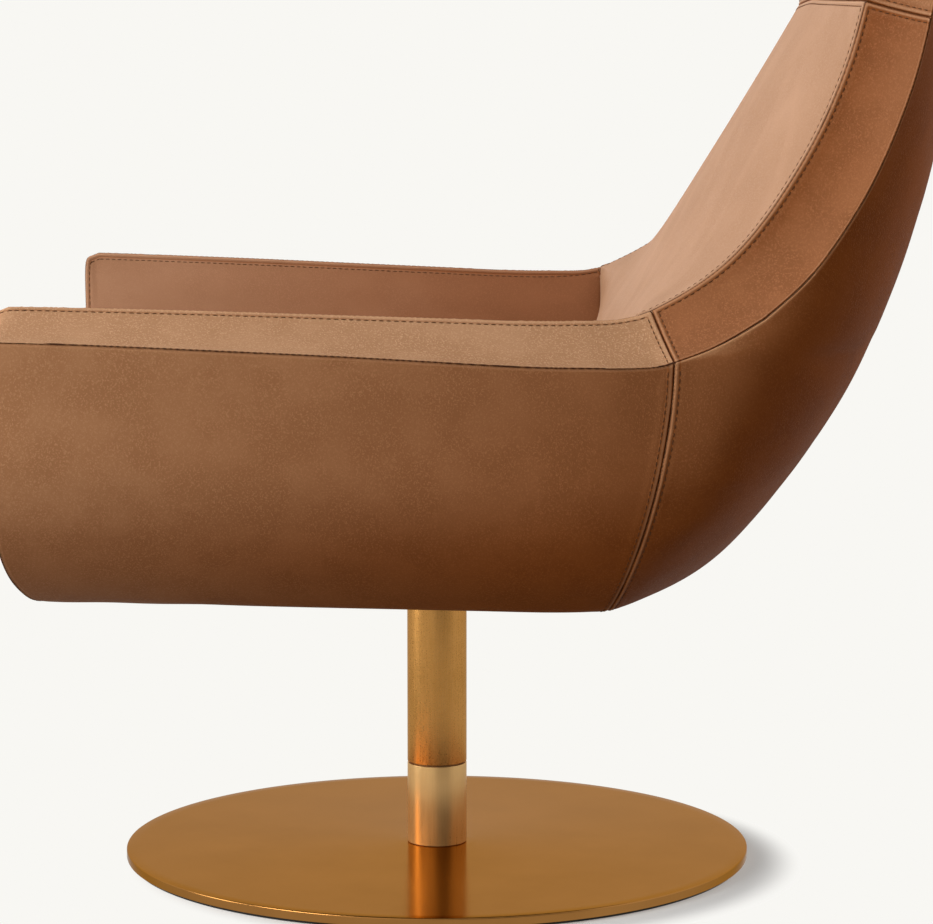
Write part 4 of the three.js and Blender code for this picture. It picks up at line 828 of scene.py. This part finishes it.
def at(profile, value):
    """Value of a piecewise linear profile of [place, value] pairs."""
    for (x0, y0), (x1, y1) in zip(profile, profile[1:]):
        if value <= x1:
            return y0 + (y1 - y0) * (value - x0) / (x1 - x0)
    return profile[-1][1]


def between(value, low, high):
    """Goes smoothly from 0 at low to 1 at high."""
    share = min(1.0, max(0.0, (value - low) / (high - low)))
    return share * share * (3 - 2 * share)


def refine(bm, trees):
    """Splits the visible face's edges near its seams, so that a roll and a groove have room."""
    for reach in refined_reaches_mm:
        close = [
            face for face in bm.faces
            if face.material_index == 0
            and min(far(trees[kind], face.calc_center_median()) for kind in ("sewn", "joined")) < reach
        ]
        long_edges = dict.fromkeys(
            edge for face in close for edge in face.edges if edge.calc_length() > finest_edge)
        bmesh.ops.subdivide_edges(bm, edges=list(long_edges), cuts=1, use_grid_fill=True)
    bm.normal_update()


def wall_way(v):
    """The way from a border point down the panel's edge wall."""
    inside = [e.other_vert(v).co - v.co for e in v.link_edges
              if all(f.material_index == 1 for f in e.link_faces)]
    way = sum((i.normalized() for i in inside), Vector())
    normal = sum((f.normal for f in v.link_faces if f.material_index == 0), Vector()).normalized()
    way = way.normalized() if way.length > 0.3 else -normal
    return way if way.dot(-normal) > 0.6 else -normal


def worked(name, bm):
    """Seam rolls and grooves worked into the visible face of a panel, with its edges drawn to their mates."""
    seams = seam_edges(name, bm)
    trees = {kind: edge_tree(edges) for kind, edges in seams.items()}
    refine(bm, trees)
    border = dict.fromkeys(v for edge in bm.edges if is_border(edge) for v in edge.verts)
    ways, shifts = [], []
    for v in border:
        mate, _ = mate_of(name, v.co)
        shifts.append((mate - v.co) * closing_share if mate else Vector())
        ways.append(wall_way(v))
    walls = tree_of([v.co for v in border])
    sewn = bm.verts.layers.float.new("sewn_mm")
    joined = bm.verts.layers.float.new("joined_mm")
    bm.verts.layers.float.new("painted_shade")
    moves = []
    for v in bm.verts:
        visible = any(f.material_index == 0 for f in v.link_faces)
        v[sewn] = far(trees["sewn"], v.co)
        v[joined] = far(trees["joined"], v.co)
        _, k, gap = walls.find(v.co)
        move = shifts[k] * max(0.0, 1 - gap / closing_reach)
        if v in border or not visible:
            sink = seam_sink if min(v[sewn], v[joined]) < sink_reach_mm else 0.0
            move += ways[k] * sink * max(0.0, 1 - gap / sink_reach)
        elif v[sewn] < v[joined]:
            move += v.normal * at(sewn_profile_mm, v[sewn]) / 1000
        else:
            move += v.normal * at(joined_profile_mm, v[joined]) / 1000
        arm_top = between(v.co.z, *arm_top_heights) * (1 - between(v.co.y, *arm_rear_places))
        moves.append(move + Vector((0, 0, arm_lift * arm_top)))
        if v in border:
            for layer in (sewn, joined):
                if v[layer] < 1:
                    v[layer] = 0.0
    for v, move in zip(bm.verts, moves):
        v.co += move
    return seams


# Stitches: waxed brown polyester thread, 4 stitches to the inch, in one row 5 mm inside each sewn edge.
# Each stitch is a short length that stands a little proud and dips into the leather at both ends.
thread, place, shader = new_material("waxed_thread")
twist = noise_at(place, 2600, 1.0)
brown = twist.ramp(0.3, 0.7).blend(colour(0.055, 0.020, 0.007), colour(0.12, 0.048, 0.018))
connect(brown, shader, "Base Color")
shader.inputs["Roughness"].default_value = 0.7
shader.inputs["Specular IOR Level"].default_value = 0.15
bumped(twist, shader, 0.0001, 0.6)
stitch_pitch, stitch_half, stitch_setback = 0.0064, 0.0023, 0.0050
thread_radius, thread_rise, thread_dip = 0.00050, 0.00045, 0.00022
thread_rings, thread_sides = 5, 6
thread_end, thread_belly = 0.55, 0.45
first_stitch, last_stitch = 0.005, 0.004
clear_of_seams = 0.86
leather_reach = 0.006


def key_of(point):
    return tuple(round(c, 6) for c in point)


def seam_runs(edges):
    """Seam edges joined end to end into runs."""
    onward = {}
    for start, end, inward in edges:
        onward.setdefault(key_of(start), []).append((end, inward))
        onward.setdefault(key_of(end), []).append((start, inward))
    used, runs = set(), []
    for key in sorted(onward, key=lambda k: (len(onward[k]) != 1, k)):
        while True:
            run, here = [], key
            while True:
                steps = (step for step in onward[here] if frozenset((here, key_of(step[0]))) not in used)
                end, inward = next(steps, (None, None))
                if end is None:
                    break
                used.add(frozenset((here, key_of(end))))
                run.append((Vector(here), end, inward))
                here = key_of(end)
            if not run:
                break
            runs.append(run)
    return runs


def sew(bm, place, run, normal):
    """One stitch, as a spindle of a few rings along the run."""
    across = normal.cross(run)
    rings = []
    for k in range(thread_rings):
        share = k / (thread_rings - 1)
        width = thread_radius * (thread_end + thread_belly * math.sin(math.pi * share))
        lift = thread_rise * math.sin(math.pi * share) - thread_dip
        middle = place + run * stitch_half * (2 * share - 1) + normal * lift
        turns = [2 * math.pi * i / thread_sides for i in range(thread_sides)]
        spokes = [across * math.cos(turn) + normal * math.sin(turn) for turn in turns]
        rings.append([bm.verts.new(middle + spoke * width) for spoke in spokes])
    for first, second in zip(rings, rings[1:]):
        for i in range(thread_sides):
            after = (i + 1) % thread_sides
            bm.faces.new((first[i], first[after], second[after], second[i]))
    bm.faces.new(rings[0][::-1])
    bm.faces.new(rings[-1])


def stitched(name, seams, panel):
    """One mesh of all the stitches of a panel, or nothing where it has none."""
    faces = [face for face in panel.faces if face.material_index == 0]
    index = {}
    for face in faces:
        for v in face.verts:
            index.setdefault(v, len(index))
    surface = BVHTree.FromPolygons([v.co for v in index], [[index[v] for v in f.verts] for f in faces])
    edges = edge_tree([edge for kind in seams.values() for edge in kind])
    bm = bmesh.new()
    for seam in seam_runs(seams["sewn"]):
        travel, due = 0.0, first_stitch
        total = sum((end - start).length for start, end, _ in seam)
        for start, end, inward in seam:
            length = (end - start).length
            while due <= travel + length and due < total - last_stitch:
                aim = start.lerp(end, (due - travel) / length) + inward * stitch_setback
                due += stitch_pitch
                if edges.find(aim)[2] < stitch_setback * clear_of_seams:
                    continue
                place, normal, _, gap = surface.find_nearest(aim)
                if place is None or gap > leather_reach:
                    continue
                run = (end - start).normalized()
                sew(bm, place, (run - normal * run.dot(normal)).normalized(), normal)
            travel += length
    if not bm.faces:
        bm.free()
        return None
    return smooth_mesh(bm, name + "_stitches", 80)


# Painted shade: the hide's colour is darkened low on the hull, where it turns under, and to the rear.
# The bands of the back are given deeper painted shade than those of the arms.
band_shade = {"back_band": 0.71, "head_band": 0.50}
hull_front, hull_rear = -0.42, 0.42
low_from, low_depth = 0.50, 0.21
side_turn, under_turn = (0.35, 0.95), (0.05, 0.7)
arm_clear, arm_shade, arm_shade_places = 0.74, 0.36, (-0.35, 0.15)


def paint_shade(name, bm):
    """Stores on each point how much painted shade darkens the hide there, from 0 to 1."""
    layer = bm.verts.layers.float["painted_shade"]
    least_shade = band_shade.get(family(name), 0.0)
    for v in bm.verts:
        outward = abs(v.normal.x) + max(0.0, v.normal.y) - max(0.0, v.normal.z)
        sideways = between(outward, *side_turn)
        rearward = between(v.co.y, hull_front, hull_rear)
        low = between(low_from - v.co.z, 0.0, low_depth)
        under = between(-v.normal.z, *under_turn)
        turned_back = between(v.normal.y, *under_turn)
        clear = (1 - 0.68 * sideways * rearward) * (1 - 0.96 * low * (0.10 + 0.90 * rearward))
        clear *= (1 - 0.9 * under * (0.4 + 0.6 * rearward)) * (1 - 0.95 * turned_back)
        if family(name) == "inner_arm":
            clear = arm_clear - arm_shade * between(v.co.y, *arm_shade_places)
        v[layer] = 1 - clear * (1 - least_shade)


# Panels in place: the outer skins, the bands that cap the rim and the padded panels inside the tub.
# Each is glued over its foam and sewn to its neighbours, with its stitches as a piece of their own.
for name, bm in panels.items():
    seams = worked(name, bm)
    bm.normal_update()
    # Painted shade for the hide is stored on each point.
    paint_shade(name, bm)
    stitches = stitched(name, seams, bm)
    for face in bm.faces:
        face.material_index = 0
    mesh = smooth_mesh(bm, name + "_skin", 75)
    slot = slots[name]
    piece = shown(name + "_skin", mesh, "seat", leathers[slot])
    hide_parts(name)
    if stitches:
        shown(name + "_stitches", stitches, "seat", thread)

# Seat cushion: a foam block with a down wrap in a boxed leather case, laid loose on the webbing.
# The case swells by a short cloth simulation, and sags a little where it is sat on.
# One plain seam with a roll above it runs round the case, below its top.
cushion_voxel = 0.009
rounding_passes = 3
cushion_shrink, shrink_height = 0.004, 0.03
cushion_pressure, cushion_cap = 4.0, 0.008
sag_depth, sag_half_x, sag_half_y, sag_centre_y = 0.004, 0.17, 0.16, -0.12
wide_crease, fine_crease = 0.0016, 0.0006
crown_heights = (0.42, 0.445)
seam_height, seam_depth = 0.4335, 0.0018
below_seam, roll_above, above_roll, roll_height = 0.0024, 0.0022, 0.0045, 0.0005
at_seam = 1e-5
mm_above, mm_below = 1450, -1050
case_darkening, foot_shade, foot_shade_depth = 0.10, 0.35, 0.06
cushion_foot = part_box("seat_cushion")[0][2]
bm = merged_copy("seat_cushion")
bmesh.ops.recalc_face_normals(bm, faces=bm.faces)
case = bpy.data.meshes.new("case")
bm.to_mesh(case)
bm.free()
block = bpy.data.objects.new("case", case)
scene.collection.objects.link(block)
voxels = block.modifiers.new("voxels", "REMESH")
voxels.mode = "VOXEL"
voxels.voxel_size = cushion_voxel
case = applied(block)
bm = bmesh.new()
bm.from_mesh(case)
for _ in range(rounding_passes):
    bmesh.ops.smooth_vert(bm, verts=bm.verts, factor=0.5, use_axis_x=True, use_axis_y=True, use_axis_z=True)
bm.normal_update()
for v in bm.verts:
    v.co -= v.normal * cushion_shrink * between(v.co.z, cushion_foot, cushion_foot + shrink_height)
bm.to_mesh(case)
bm.free()
swollen("case", case, cushion_pressure, cushion_cap)
bm = bmesh.new()
bm.from_mesh(case)
bmesh.ops.subdivide_edges(bm, edges=bm.edges, cuts=1, use_grid_fill=True, smooth=0.6)
for v in bm.verts:
    sag = math.exp(-((v.co.x / sag_half_x) ** 2 + ((v.co.y - sag_centre_y) / sag_half_y) ** 2))
    creased = noise.noise(v.co * 9) * wide_crease + noise.noise(v.co * 26) * fine_crease
    v.co.z += (creased - sag_depth * sag) * between(v.co.z, *crown_heights)
    v.co.z = max(v.co.z, cushion_foot)
for offset in (-below_seam, 0, roll_above, above_roll):
    bmesh.ops.bisect_plane(bm, geom=bm.verts[:] + bm.edges[:] + bm.faces[:], dist=at_seam,
                           plane_co=(0, 0, seam_height + offset), plane_no=(0, 0, 1))
bm.normal_update()
sewn = bm.verts.layers.float.new("sewn_mm")
joined = bm.verts.layers.float.new("joined_mm")
painted_shade = bm.verts.layers.float.new("painted_shade")
for v in bm.verts:
    rise = v.co.z - seam_height
    v[sewn] = mm_above * rise if rise >= -at_seam else 900.0
    v[joined] = mm_below * rise if rise <= at_seam else 900.0
    # The case is darkened a little all over; the extra darkening towards its foot, down in the tub, is
    # painted shade.
    v[painted_shade] = case_darkening + foot_shade * between(-rise, 0.0, foot_shade_depth)
    if abs(rise) < 2 * at_seam:
        v.co -= v.normal * seam_depth
    elif abs(rise - roll_above) < 2 * at_seam:
        v.co += v.normal * roll_height
case = smooth_mesh(bm, "loose_cushion", 70)
cushion = shown("loose_cushion", case, "seat", leathers["leather_inner"])
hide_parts("seat_cushion")

# Dust cover: the same black cloth, stapled taut to the rails under the seat.
# It has an opening for the column and the yoke.
cover = taut_cloth("stapled_cover", "dust_cover", (0, 0, -1), 0.0007)
